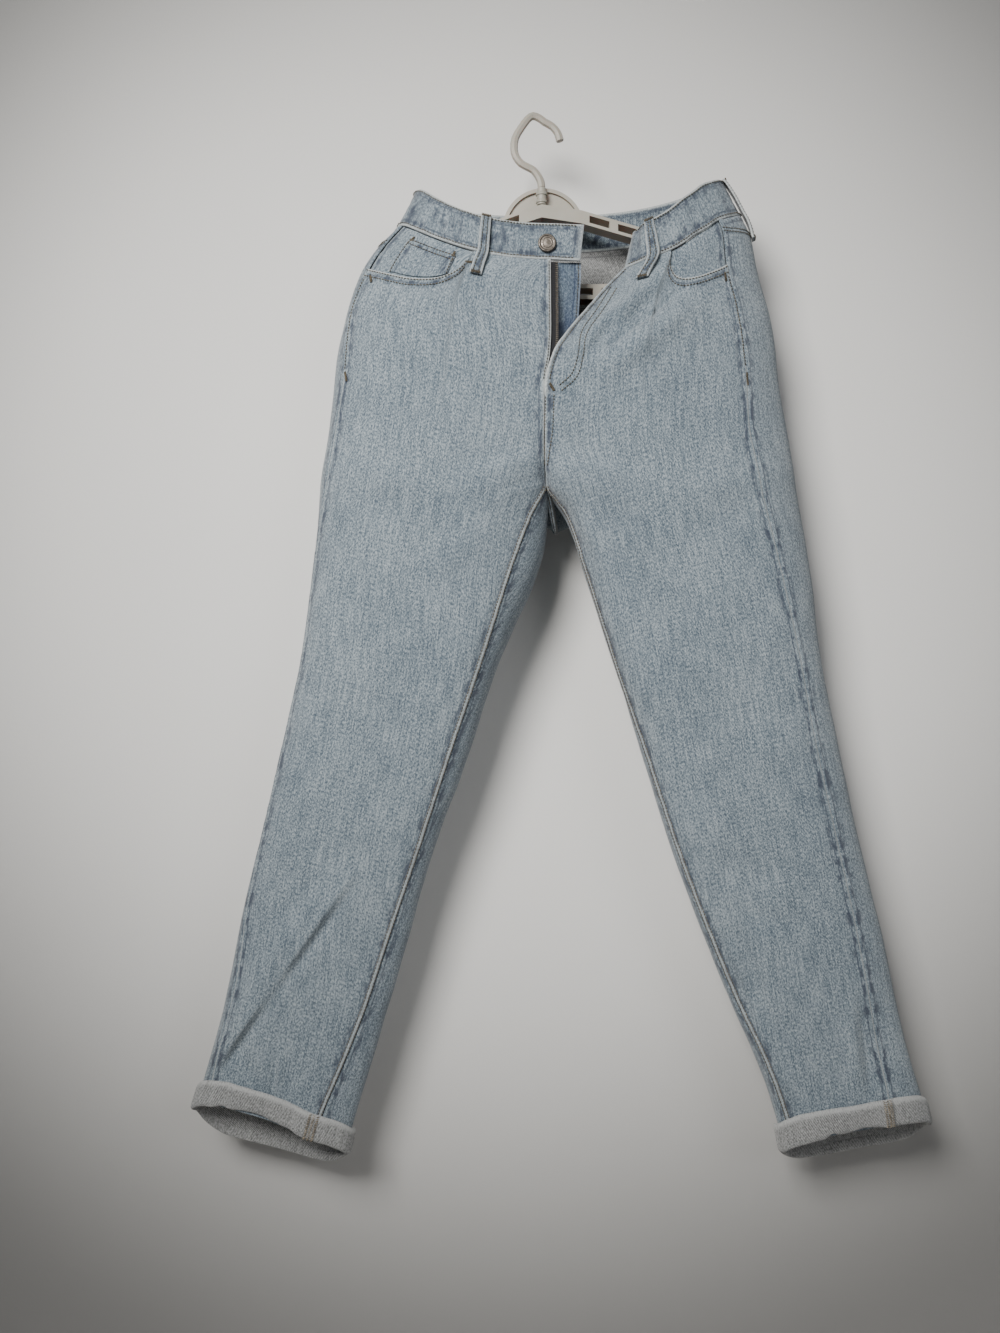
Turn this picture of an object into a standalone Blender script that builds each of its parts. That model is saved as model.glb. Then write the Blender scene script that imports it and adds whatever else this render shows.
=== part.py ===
# Boyfriend jeans hanging on a plastic hanger, fly open, hems turned up twice.
#
# Millimetres here, metres in the objects. +X is the wearer's left, +Z up, and the front faces -Y.
# The origin is where the hook hangs. The cloth is two half garments, each a front and a back surface
# that are worked out from the section tables below, and every piece of cloth is a wall on them.
import math

import bmesh
import bpy
import numpy as np
from mathutils import Matrix, Vector

MM = 0.001

# Cloth and sewing
DENIM = 1.6
SEAM_GAP = 0.3
LIE_ON = 0.6
BAND_HEIGHT = 36.5
# How far the band's top leans in over its foot, at these places across
LEAN_FRONT = ((-136, -97, -69, 12, 90, 100, 117, 163, 208), (20, 9, 4, 0, 12, 2, -7, -14, -20))
LEAN_BACK = ((-136, -97, -69, 12, 117, 163, 208), (20, 9, 4, 0, -5, -11, -20))
BAND_LEAN_FRONT = 4.0
BAND_PROUD = 0.6
BAND_THICK = 3.0
SHIELD_END_X = 44.0
SHIELD_BEND = 15.0
LOOP_WIDTH = 10.5
LOOP_THICK = 1.8
LOOP_STAND_OFF = 2.6
LOOP_LIE_ON = 0.8
# Each loop's place across, and whether it is on the back
LOOP_PLACES = (
    ("belt_loop_front_right", -50.0, False),
    ("belt_loop_side_right", -124.0, True),
    ("belt_loop_back", 15.5, True),
    ("belt_loop_side_left", 207.3, False),
    ("belt_loop_front_left", 117.0, False),
)
# A loop's line from its top end down: height in band heights, and share of the full stand-off
LOOP_SECTION = ((1.0, 0.0), (0.9, 0.5), (0.55, 1.0), (0.2, 1.0), (-0.25, 0.8), (-0.55, 0.3), (-0.66, 0.3))
CUFF_THICK = 4.6
POCKET_DEPTH = 2.6

# Shape of the sections
SQUARENESS = 2.4
CENTRE_X = 12.0
CROTCH_ROW, CUFF_ROW, HEM_ROW = 9.0, 18.0, 19.0
POCKET_JOIN_ROW = 6
BACK_COLUMNS = 15

# One row for each section: outer fold (z_out, x_out), outseam (x_seam), inner fold (z_in, x_in),
# front edge or inseam (xf, yf, zf), half depth, and how far the back hangs below the front (drop).
COLUMNS = ("name", "z_out", "x_out", "x_seam", "z_in", "x_in", "xf", "yf", "zf", "depth", "drop")
RIGHT_ROWS = (
    ("waist", -111, -136, -130, -155, 10, 15.8, -42.5, -155, 42, 0),
    ("yoke", -131, -155, -147, -172, 10, 15.8, -44.5, -172, 45, 0),
    ("pocket", -156, -172, -163, -198, 10, 15.8, -47.5, -198, 48, 0),
    ("hip", -200, -187, -180, -224, 10, 15.8, -50.5, -224, 52, 0),
    ("low hip", -232, -194, -184, -248, 10, 14.5, -52.0, -248, 54, 0),
    ("fly foot", -262, -198, -186, -278, 14, 9.8, -52.0, -278, 54, 0),
    ("seat", -310, -203, -194, -345, 18, 9.5, -49.0, -321, 53, 0),
    ("fork top", -335, -207, -198, -376, 14, 10.0, -43.0, -347, 51, 0),
    ("fork", -352, -210, -201, -398, 16, 10.8, -36.5, -360, 50, 0),
    ("crotch", -368, -212, -204, -412, 16, 12.0, -30.0, -371, 48, 0),
    ("top thigh", -410, -215, -211, -437, 13, -1.5, -34.0, -400, 45, 2),
    ("thigh", -460, -221, -218, -472, 2, -18.5, -34.0, -446, 43, 4),
    ("low thigh", -535, -231, -228, -550, -35, -48.5, -31.0, -540, 40, 6),
    ("above knee", -610, -247, -244, -630, -63, -78.5, -29.0, -630, 36, 8),
    ("knee", -710, -270, -267, -735, -101, -112.5, -24.0, -735, 32, 12),
    ("calf", -785, -288, -283, -815, -124, -139.0, -22.0, -815, 28, 15),
    ("shin", -860, -303, -293, -893, -147, -164.0, -20.0, -893, 25, 19),
    ("ankle", -912, -315, -305, -946, -163, -184.0, -19.0, -946, 23, 22),
    ("cuff top", -964, -330, -318, -1006, -181, -208.0, -18.0, -1006, 21, 25),
    ("hem", -990, -338, -325, -1031, -187, -215.0, -18.0, -1031, 21, 26),
)
LEFT_ROWS = (
    ("waist", -100, 208, 181, -155, 14, 89.7, -15.0, -154, 42, 0),
    ("yoke", -121, 217, 185, -172, 14, 72.0, -20.0, -172, 45, 0),
    ("pocket", -156, 224, 188, -198, 14, 51.6, -33.0, -198, 48, 0),
    ("hip", -200, 236, 198, -224, 14, 31.3, -43.0, -224, 52, 0),
    ("low hip", -232, 241, 203, -248, 14, 17.0, -53.0, -248, 54, 0),
    ("fly foot", -262, 244, 206, -278, 14, 9.8, -52.0, -278, 54, 0),
    ("seat", -310, 252, 208, -345, 20, 9.5, -49.0, -321, 53, 0),
    ("fork top", -335, 256, 213, -376, 28, 10.0, -43.0, -347, 51, 0),
    ("fork", -352, 259, 217, -398, 33, 10.8, -36.5, -360, 50, 0),
    ("crotch", -368, 261, 220, -412, 36, 12.0, -30.0, -371, 48, 0),
    ("top thigh", -410, 269, 230, -437, 39, 32.5, -24.0, -400, 45, 2),
    ("thigh", -460, 277, 242, -480, 55, 52.0, -20.0, -457, 43, 4),
    ("low thigh", -535, 286, 259, -555, 81, 80.5, -16.0, -545, 40, 6),
    ("above knee", -610, 301, 273, -632, 108, 110.0, -12.0, -632, 36, 8),
    ("knee", -710, 322, 295, -733, 140, 143.0, -12.0, -733, 32, 10),
    ("calf", -785, 341, 312, -808, 168, 171.0, -11.0, -808, 28, 12),
    ("shin", -860, 358, 327, -884, 199, 202.0, -10.0, -884, 25, 15),
    ("ankle", -920, 371, 338, -945, 226, 230.0, -10.0, -945, 23, 18),
    ("cuff top", -979, 388, 350, -1003, 245, 250.0, -10.0, -1003, 21, 20),
    ("hem", -1005, 394, 354, -1031, 251, 256.0, -10.0, -1031, 21, 21),
)

# Centre back seam and seat seam, shared by both halves, from the waist to the crotch point
SEAT_COLUMNS = ("x", "y", "z")
SEAT_SEAM = (
    (15, 41, -118), (15, 46, -176), (15, 49, -204), (15, 52, -240), (15, 53, -270),
    (15, 53, -300), (16, 49, -346), (19, 36, -388), (22, 10, -411), (12, -30, -371),
)

# Where the left front rolls inwards beside the open fly, one value a row from the waist
ROLL_X = (112, 126, 132, 103, 67, 22)

# How far the left waist line dips at the outseam, beside its raised corner, and over what length
CORNER_DIP, DIP_REACH = 9.0, 26.0

# Front pocket opening: share of the way from the outseam to the fly, and row at its lower edge
OPENING = ((0.0, 2.0), (0.12, 2.0), (0.26, 1.95), (0.38, 1.75), (0.46, 1.4), (0.51, 0.9), (0.53, 0.0))

# Large creases in the legs, as soft ridges on the front: side, ends, half width and height
CREASE_COLUMNS = ("side", "x0", "z0", "x1", "z1", "width", "height")
CREASES = (
    ("right", -178, -742, -296, -885, 15, 5.0),
    ("right", -262, -850, -330, -958, 13, 6.0),
    ("left", 196, -800, 216, -905, 16, -4.0),
    ("left", 222, -905, 248, -985, 12, 4.0),
    ("left", 330, -870, 340, -965, 18, -3.5),
    ("left", 165, -742, 240, -760, 26, -3.0),
)

# Hanger
HOOK_RADIUS = 3.9
HOOK_PATH = (
    (27, -21), (24.5, -13), (19, -6.5), (11.5, -2.2), (6.5, 1.5), (0, 3.9), (-5.5, 0.5), (-12.5, -9),
    (-17.8, -18.5), (-19, -29), (-17, -37), (-12, -43.5), (-5.5, -47.2), (0.5, -50.5), (5.5, -57),
    (8, -63), (8.5, -68),
)
STEM_X, STEM_RADIUS, STEM_TOP, STEM_FOOT = 8.5, 4.7, -68.4, -85.5
DISC_X, DISC_Z, DISC_RADIUS, DISC_RIM = 10.7, -107.0, 41.0, 3.6
DISC_FRONT, DISC_BACK, DISC_PLATE = 5.1, 11.0, 3.0
ARM_TOP = ((-10, -92.5), (8.5, -86.5), (48, -92.5), (117, -112.5))
ARM_END_TOP, BAR_TOP, BAR_FOOT = -146.0, -166.0, -181.0
ARM_HEIGHT = 13.0
ARM_FRONT, ARM_BACK = -5.5, 11.5
ARM_CLEAR = 1.9
WINDOW_LENGTH, WINDOW_HEIGHT, WINDOW_PITCH = 20.0, 7.0, 28.5

# Shank button
BUTTON_X, BUTTON_Z, BUTTON_RADIUS = 12.2, -140.0, 8.8

COLOURS = {
    "denim": ((0.42, 0.50, 0.60), 0.9, 0.0),
    "denim_reverse": ((0.62, 0.63, 0.62), 0.92, 0.0),
    "shield_denim": ((0.10, 0.18, 0.34), 0.9, 0.0),
    "zip_tape": ((0.015, 0.015, 0.017), 0.8, 0.0),
    "pewter": ((0.20, 0.17, 0.14), 0.42, 0.9),
    "hanger_plastic": ((0.56, 0.53, 0.47), 0.38, 0.0),
}


def column_arrays(rows, names):
    """A section table as one array for each named column."""
    return {name: np.array([row[i] for row in rows]) for i, name in enumerate(names) if name != "name"}


def smooth_at(values, u):
    """Value of a table column at row u, on a monotone cubic through its rows."""
    count = len(values)
    k = int(min(max(math.floor(u), 0), count - 2))
    f = u - k
    rise = np.diff(values)

    def slope(i):
        if i == 0 or i == count - 1:
            return rise[min(i, count - 2)]
        if rise[i - 1] * rise[i] <= 0:
            return 0.0
        return 2.0 * rise[i - 1] * rise[i] / (rise[i - 1] + rise[i])

    h00 = 2 * f**3 - 3 * f**2 + 1
    h10 = f**3 - 2 * f**2 + f
    return h00 * values[k] + h10 * slope(k) + (1 - h00) * values[k + 1] + (f**3 - f**2) * slope(k + 1)


def smooth_step(value):
    value = np.clip(value, 0.0, 1.0)
    return value * value * (3 - 2 * value)


def resample(points, count):
    """Points at equal steps along a dense line."""
    steps = np.linalg.norm(np.diff(points, axis=0), axis=1)
    along = np.concatenate([[0], np.cumsum(steps)])
    where = np.linspace(0, along[-1], count)
    return np.stack([np.interp(where, along, points[:, i]) for i in range(3)], axis=1)


class Half:
    """One half of the jeans: its front and back surfaces, by row u and share t from the outseam."""

    DENSE = 241

    def __init__(self, name, rows):
        self.name = name
        self.sign = -1.0 if name == "right" else 1.0
        self.table = column_arrays(rows, COLUMNS)
        self.seat = column_arrays(SEAT_SEAM, SEAT_COLUMNS)
        self.cache = {}

    def value(self, column, u):
        return smooth_at(self.table[column], u)

    def angle(self, x, centre, half_width):
        """Section angle of a place on the front face: 0 at the outer fold, a right angle in the middle."""
        share = self.sign * (x - centre) / half_width
        share = min(max(share, -0.995), 0.995)
        return math.acos(math.copysign(abs(share) ** (SQUARENESS / 2), share))

    def section(self, centre, half_width, depth, angles):
        c, s = np.cos(angles), np.sin(angles)
        x = centre + self.sign * half_width * np.sign(c) * np.abs(c) ** (2 / SQUARENESS)
        y = -depth * np.sign(s) * np.abs(s) ** (2 / SQUARENESS)
        return x, y

    def pelvis_profile(self, u, back):
        v = {name: self.value(name, u) for name in self.table}
        half_width = self.sign * (v["x_out"] - CENTRE_X)
        start = self.angle(v["x_seam"], CENTRE_X, half_width)
        if back:
            end = -math.pi / 2
            x_end, z_end = smooth_at(self.seat["x"], u), smooth_at(self.seat["z"], u)
        else:
            x_end, z_end = v["xf"], v["zf"]
            x_stop = x_end
            if self.name == "left" and u < len(ROLL_X) - 1:
                x_stop = smooth_at(np.array(ROLL_X, float), u)
            end = self.angle(x_stop, CENTRE_X, half_width)
        x, y = self.section(CENTRE_X, half_width, v["depth"], np.linspace(start, end, self.DENSE))
        bow = 1.0 + 1.2 * max(0.0, 1 - u / 6)
        share = np.clip((x - x_end) / (v["x_seam"] - x_end), 0, 1)
        z = z_end + (v["z_out"] - z_end) * share**bow
        if self.name == "left":
            inward = 1 - (v["x_seam"] - x) / DIP_REACH
            outward = (v["x_out"] - x) / (v["x_out"] - v["x_seam"])
            near = np.clip(np.minimum(inward, outward), 0, 1) * (y < 0)
            z = z - CORNER_DIP * max(0.0, 1 - u / 1.3) * smooth_step(near)
        points = np.stack([x, y, z], axis=1)
        if not back and self.name == "left" and u < len(ROLL_X) - 1:
            edge = np.array([v["xf"], v["yf"], v["zf"]])
            run = np.linspace(0, 1, self.DENSE // 2)[1:, None]
            points = np.concatenate([points, points[-1] + (edge - points[-1]) * run])
            points = resample(points, self.DENSE)
            for _ in range(260):
                points[1:-1] = (points[:-2] + 2 * points[1:-1] + points[2:]) / 4
        return resample(points, self.DENSE)

    def leg_profile(self, u, back):
        v = {name: self.value(name, u) for name in self.table}
        centre = (v["x_out"] + v["x_in"]) / 2
        half_width = abs(v["x_out"] - v["x_in"]) / 2
        start = self.angle(v["x_seam"], centre, half_width)
        stop = self.angle(v["xf"], centre, half_width)
        end = stop - 2 * math.pi if back else stop
        angles = np.linspace(start, end, self.DENSE)
        x, y = self.section(centre, half_width, v["depth"], angles)
        z = v["z_out"] + (v["z_in"] - v["z_out"]) * (v["x_out"] - x) / (v["x_out"] - v["x_in"])
        z = z - v["drop"] * smooth_step(y / v["depth"])
        return resample(np.stack([x, y, z], axis=1), self.DENSE)

    def profile(self, u, back):
        """Dense line across one surface at row u, from the outseam to its inner edge."""
        key = (round(u, 5), back)
        if key in self.cache:
            return self.cache[key]
        leg = smooth_step((u - 4) / 5) if u < CROTCH_ROW else 1.0
        if leg <= 0:
            points = self.pelvis_profile(u, back)
        elif leg >= 1:
            points = self.leg_profile(u, back)
        else:
            points = (1 - leg) * self.pelvis_profile(u, back) + leg * self.leg_profile(u, back)
        if back and u < CROTCH_ROW:
            end = np.array([smooth_at(self.seat[axis], u) for axis in SEAT_COLUMNS])
        else:
            end = np.array([self.value(name, u) for name in ("xf", "yf", "zf")])
        t = np.linspace(0, 1, self.DENSE)
        free = 0.72 if back else 0.72 - 0.27 * float(smooth_step((u - 6) / 1.5))
        pull = smooth_step((t - free) / (1 - free)) ** 1.4
        points = points + pull[:, None] * (end - points[-1])
        points = resample(points, self.DENSE)
        self.cache[key] = points
        return points

    def creased(self, point):
        """The point moved out or in by the creases of its side."""
        out = 0.0
        for side, x0, z0, x1, z1, width, height in CREASES:
            if side != self.name:
                continue
            run = np.array([x1 - x0, z1 - z0], float)
            along = np.dot([point[0] - x0, point[2] - z0], run) / np.dot(run, run)
            near = np.array([x0, z0]) + min(max(along, 0), 1) * run
            far = math.hypot(point[0] - near[0], point[2] - near[1]) / width
            taper = smooth_step(1.25 - abs(2 * along - 1))
            out += height * math.exp(-far * far) * taper
        return out * float(smooth_step(-point[1] / 12))

    def at(self, u, t, back):
        """Surface point at row u and share t."""
        points = self.profile(u, back)
        where = t * (self.DENSE - 1)
        k = int(min(math.floor(where), self.DENSE - 2))
        point = points[k] + (where - k) * (points[k + 1] - points[k])
        return point - np.array([0, self.creased(point), 0])

    def normal(self, u, t, back):
        """Outward direction at row u and share t."""
        step_u, step_t = 0.04, 0.012
        du = self.at(min(u + step_u, HEM_ROW), t, back) - self.at(max(u - step_u, 0), t, back)
        dt = self.at(u, min(t + step_t, 1), back) - self.at(u, max(t - step_t, 0), back)
        n = np.cross(du, dt) * self.sign * (1 if back else -1)
        return n / np.linalg.norm(n)


def opening_row(t):
    """Row of the front pocket opening's edge above which the front is cut away."""
    ts = [place[0] for place in OPENING]
    us = [place[1] for place in OPENING]
    return float(np.interp(t, ts, us, right=0.0))


# Share positions of the front's columns: close together where the pocket opening turns up to the waist
FRONT_SHARES = (0, 0.12, 0.26, 0.38, 0.46, 0.51, 0.53, 0.58, 0.65, 0.72, 0.79, 0.86, 0.91, 0.96, 1)
TOP_STEPS = 6
LEG_ROWS = (7, 8, 8.5, 9, 9.5, 10, 11, 11.5, 12, 12.5, 13, 13.5, 14, 14.5, 15, 15.5, 16, 16.5, 17, 17.5, 18, 19)


def front_row(step, t):
    """Row of the front's grid line, which follows the pocket opening at its top."""
    top = opening_row(t)
    return top + (POCKET_JOIN_ROW - top) * step / TOP_STEPS


def front_grid(half):
    rows = []
    for step in range(TOP_STEPS + 1):
        rows.append([half.at(front_row(step, t), t, False) for t in FRONT_SHARES])
    for u in LEG_ROWS:
        rows.append([half.at(u, t, False) for t in FRONT_SHARES])
    return np.array(rows)


BACK_SHARES = np.linspace(0, 1, BACK_COLUMNS + 1)
BACK_TOP_ROWS = (1, 2) + tuple(2 + 4 * i / TOP_STEPS for i in range(1, TOP_STEPS + 1))


def back_grid(half):
    return np.array([[half.at(u, t, True) for t in BACK_SHARES] for u in BACK_TOP_ROWS + LEG_ROWS])


def yoke_grid(half):
    return np.array([[half.at(u, t, True) for t in BACK_SHARES] for u in (0, 0.5, 1)])


def band_foot(right, left):
    """Lower edge of the waistband, from the button end round the right side and back to the other end."""
    path = [np.array([SHIELD_END_X, -44.0, -157.0]), np.array([30.0, -43.6, -156.4])]
    path += [right.at(0, t, False) for t in reversed(FRONT_SHARES)]
    path += [right.at(0, t, True) for t in BACK_SHARES[1:]]
    path += [left.at(0, t, True) for t in reversed(BACK_SHARES[:-1])]
    path += [left.at(0, t, False) for t in FRONT_SHARES[1:]]
    return np.array(path)


def band_grid(right, left):
    foot = band_foot(right, left)
    rows = []
    for share in (0, 0.35, 0.7, 1):
        row = []
        for p in foot:
            lean_x = float(np.interp(p[0], *(LEAN_FRONT if p[1] < 0 else LEAN_BACK)))
            lean_y = -BAND_LEAN_FRONT * np.clip(p[1] / 42, -1, 1)
            row.append(p + share * np.array([lean_x, lean_y, BAND_HEIGHT]))
        rows.append(row)
    return np.array(rows)[::-1]


def welded_normals(grids, flips):
    """Outward normals of several grids that share edge points, the same wherever points coincide."""
    total = {}

    def key(point):
        return tuple(np.round(point, 3))

    for grid, flip in zip(grids, flips):
        for i in range(grid.shape[0] - 1):
            for j in range(grid.shape[1] - 1):
                a, b, c, d = grid[i, j], grid[i, j + 1], grid[i + 1, j + 1], grid[i + 1, j]
                n = np.cross(c - a, d - b) * flip
                for p in (a, b, c, d):
                    total[key(p)] = total.get(key(p), 0) + n
    out = []
    for grid in grids:
        normals = np.array([[total[key(p)] for p in row] for row in grid])
        out.append(normals / np.linalg.norm(normals, axis=2, keepdims=True))
    return out


def pulled(grid, normals, amount):
    """The grid with its rim moved inwards along the surface, which leaves the gap at a seam."""
    moved = grid.copy()
    rows, cols = grid.shape[:2]

    def inwards(line, inner, n):
        tangent = np.gradient(line, axis=0)
        side = np.cross(n, tangent)
        side /= np.linalg.norm(side, axis=1, keepdims=True)
        side *= np.sign(np.sum(side * (inner - line), axis=1, keepdims=True))
        return side * amount

    moved[0] += inwards(grid[0], grid[1], normals[0])
    moved[rows - 1] += inwards(grid[-1], grid[-2], normals[-1])
    moved[:, 0] += inwards(grid[:, 0], grid[:, 1], normals[:, 0])
    moved[:, cols - 1] += inwards(grid[:, -1], grid[:, -2], normals[:, -1])
    return moved


def wall_mesh(outer, inner, closed=False):
    """Closed mesh between an outer and an inner grid. A closed one joins its last column to its first."""
    rows, cols = outer.shape[:2]
    size = rows * cols
    verts = np.concatenate([outer.reshape(-1, 3), inner.reshape(-1, 3)]) * MM
    faces = []
    wrap = cols if closed else cols - 1
    for i in range(rows - 1):
        for j in range(wrap):
            n = (j + 1) % cols
            a, b, c, d = i * cols + j, i * cols + n, (i + 1) * cols + n, (i + 1) * cols + j
            faces.append((a, b, c, d))
            faces.append((size + a, size + d, size + c, size + b))
    for j in range(wrap):
        n = (j + 1) % cols
        faces.append((j, size + j, size + n, n))
        low = (rows - 1) * cols
        faces.append((low + j, low + n, size + low + n, size + low + j))
    if not closed:
        for i in range(rows - 1):
            a, b = i * cols, (i + 1) * cols
            faces.append((a, b, size + b, size + a))
            a, b = a + cols - 1, b + cols - 1
            faces.append((a, size + a, size + b, b))
    return verts, faces


def material(name):
    found = bpy.data.materials.get(name)
    if found:
        return found
    colour, roughness, metallic = COLOURS[name]
    made = bpy.data.materials.new(name)
    made.use_nodes = True
    shader = made.node_tree.nodes["Principled BSDF"]
    shader.inputs["Base Color"].default_value = (*colour, 1.0)
    shader.inputs["Roughness"].default_value = roughness
    shader.inputs["Metallic"].default_value = metallic
    made.diffuse_color = (*colour, 1.0)
    return made


def add_object(name, data, look, collection):
    thing = bpy.data.objects.new(name, data)
    collection.objects.link(thing)
    data.materials.clear()
    data.materials.append(material(look))
    return thing


def add_mesh(name, verts, faces, look, collection):
    mesh = bpy.data.meshes.new(name)
    mesh.from_pydata([tuple(v) for v in verts], [], faces)
    bm = bmesh.new()
    bm.from_mesh(mesh)
    bmesh.ops.recalc_face_normals(bm, faces=bm.faces)
    if bm.calc_volume(signed=True) < 0:
        bmesh.ops.reverse_faces(bm, faces=bm.faces)
    bm.to_mesh(mesh)
    bm.free()
    mesh.shade_smooth()
    return add_object(name, mesh, look, collection)


def cloth(name, grid, normals, collection, look="denim", out=0.0, thick=DENIM, gap=SEAM_GAP / 2):
    """A wall of cloth: its outer face lies out from the grid, and it is thick inwards from there."""
    rim = pulled(grid, normals, gap)
    verts, faces = wall_mesh(rim + normals * out, rim + normals * (out - thick))
    return add_mesh(name, verts, faces, look, collection)


def patch(half, back, corners, rows, cols):
    """Grid and normals of a piece that lies on a panel, from its place (u, t) as a function of two shares."""
    grid = np.zeros((rows, cols, 3))
    normals = np.zeros((rows, cols, 3))
    for i in range(rows):
        for j in range(cols):
            u, t = corners(i / (rows - 1), j / (cols - 1))
            grid[i, j] = half.at(u, t, back)
            normals[i, j] = half.normal(u, t, back)
    return grid, normals


def locate(half, back, x, z):
    """Row and share of the surface point that has the given x and z."""
    best = None
    for u in np.arange(0, HEM_ROW + 0.01, 0.5):
        for t in np.linspace(0, 1, 21):
            p = half.at(u, t, back)
            far = (p[0] - x) ** 2 + (p[2] - z) ** 2
            if best is None or far < best[0]:
                best = (far, u, t)
    _, u, t = best
    for _ in range(12):
        p = half.at(u, t, back)
        step_u = 0.02 if u < HEM_ROW - 0.02 else -0.02
        step_t = 0.01 if t < 0.99 else -0.01
        du = (half.at(u + step_u, t, back) - p)[[0, 2]] / step_u
        dt = (half.at(u, t + step_t, back) - p)[[0, 2]] / step_t
        move = np.linalg.lstsq(np.stack([du, dt], axis=1), np.array([x - p[0], z - p[2]]), rcond=None)[0]
        u = float(np.clip(u + np.clip(move[0], -0.3, 0.3), 0, HEM_ROW))
        t = float(np.clip(t + np.clip(move[1], -0.1, 0.1), 0, 1))
    return u, t


def build_panels(right, left, collection):
    """Fronts, backs, yokes and waistband, whose walls share their normals at every seam."""
    names, grids, flips = [], [], []
    for half in (right, left):
        for piece, grid, back in (
            ("front", front_grid(half), False),
            ("yoke", yoke_grid(half), True),
            ("back", back_grid(half), True),
        ):
            names.append(f"{piece}_{half.name}")
            grids.append(grid)
            flips.append(-half.sign if back else half.sign)
    names.append("waistband")
    grids.append(band_grid(right, left))
    flips.append(1.0)
    normals = welded_normals(grids, flips)
    for name, grid, n in zip(names, grids, normals):
        if name == "waistband":
            cloth(name, grid, n, collection, out=BAND_PROUD, thick=BAND_THICK)
        else:
            cloth(name, grid, n, collection)
    return dict(zip(names, zip(grids, normals)))


def build_facings(half, collection):
    """The hip facing behind a front pocket opening, which runs on under the front's edge."""
    under, past = 0.3, 0.05
    shares = [t for t in FRONT_SHARES if t <= OPENING[-1][0]] + [OPENING[-1][0] + past]

    def place(down, across):
        t = float(np.interp(across, np.linspace(0, 1, len(shares)), shares))
        foot = opening_row(t) + under if t < 0.5 else 1.25
        return foot * down, t

    grid, normals = patch(half, False, place, 5, len(shares))
    cloth(f"pocket_facing_{half.name}", grid, normals, collection, out=-POCKET_DEPTH, gap=0.8)


def build_coin_pocket(right, collection):
    """Small pocket on the right hip facing, its foot just above the opening's edge."""
    left_share, right_share, top_row, clear = 0.13, 0.44, 0.42, 0.1

    def place(down, across):
        t = left_share + (right_share - left_share) * across
        foot = opening_row(t) - clear
        top = top_row + 0.08 * across
        return top + (foot - top) * down, t

    grid, normals = patch(right, False, place, 4, 6)
    cloth("coin_pocket", grid, normals, collection, out=-POCKET_DEPTH + 0.3 + 1.4, thick=1.4)


# Back pockets: the middle of the top edge, its width, and the heights of side and point below it
POCKET_WIDTH, POCKET_SIDE, POCKET_POINT, POCKET_NARROWS = 138.0, 128.0, 150.0, 12.0
POCKET_TOP = {"right": (-92.0, -196.0, 8.0), "left": (120.0, -190.0, -8.0)}


def build_back_pocket(half, collection):
    x_mid, z_top, tilt = POCKET_TOP[half.name]
    rows, cols = 8, 9
    grid = np.zeros((rows, cols, 3))
    normals = np.zeros((rows, cols, 3))
    for j in range(cols):
        across = j / (cols - 1) * 2 - 1
        foot = POCKET_SIDE + (POCKET_POINT - POCKET_SIDE) * (1 - abs(across))
        for i in range(rows):
            down = i / (rows - 1)
            width = POCKET_WIDTH - POCKET_NARROWS * down
            x = x_mid + across * width / 2
            z = z_top + tilt * across / 2 - foot * down
            u, t = locate(half, True, x, z)
            grid[i, j] = half.at(u, t, True)
            normals[i, j] = half.normal(u, t, True)
    cloth(f"back_pocket_{half.name}", grid, normals, collection, out=LIE_ON + 1.2, thick=1.2)


def build_cuff(half, collection):
    """Turned-up hem: a rounded band round the foot of the leg."""
    loop = [(t, False) for t in FRONT_SHARES[:-1]]
    loop += [(t, True) for t in reversed(BACK_SHARES[1:])]
    section = ((0, LIE_ON), (0, 3.0), (0.14, CUFF_THICK), (0.5, CUFF_THICK + 0.5), (0.86, CUFF_THICK), (1.0, 3.0),
               (1.0, LIE_ON))
    rows = []
    inner = []
    for share, out in section:
        u = CUFF_ROW + (HEM_ROW - 0.02 - CUFF_ROW) * share
        ring = [half.at(u, t, back) + half.normal(u, t, back) * out for t, back in loop]
        rows.append(ring)
        inner.append([half.at(u, t, back) + half.normal(u, t, back) * LIE_ON for t, back in loop])
    outer, inner = np.array(rows[1:-1]), np.array(inner[1:-1])
    inner[0] = rows[0]
    inner[-1] = rows[-1]
    verts, faces = wall_mesh(outer, inner, closed=True)
    add_mesh(f"cuff_{half.name}", verts, faces, "denim_reverse", collection)


def foot_columns(right, left):
    """Half, face and share t of each column of the waistband's foot, in its order. The free end has none."""
    columns = [None, None]
    columns += [(right, False, t) for t in reversed(FRONT_SHARES)]
    columns += [(right, True, t) for t in BACK_SHARES[1:]]
    columns += [(left, True, t) for t in reversed(BACK_SHARES[:-1])]
    columns += [(left, False, t) for t in FRONT_SHARES[1:]]
    return columns


def below_waist(half, back, t, distance):
    """Row that lies the given distance under the waist seam at share t."""
    start = half.at(0, t, back)
    low, high = 0.0, 3.0
    for _ in range(20):
        middle = (low + high) / 2
        if np.linalg.norm(half.at(middle, t, back) - start) < distance:
            low = middle
        else:
            high = middle
    return low


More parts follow.
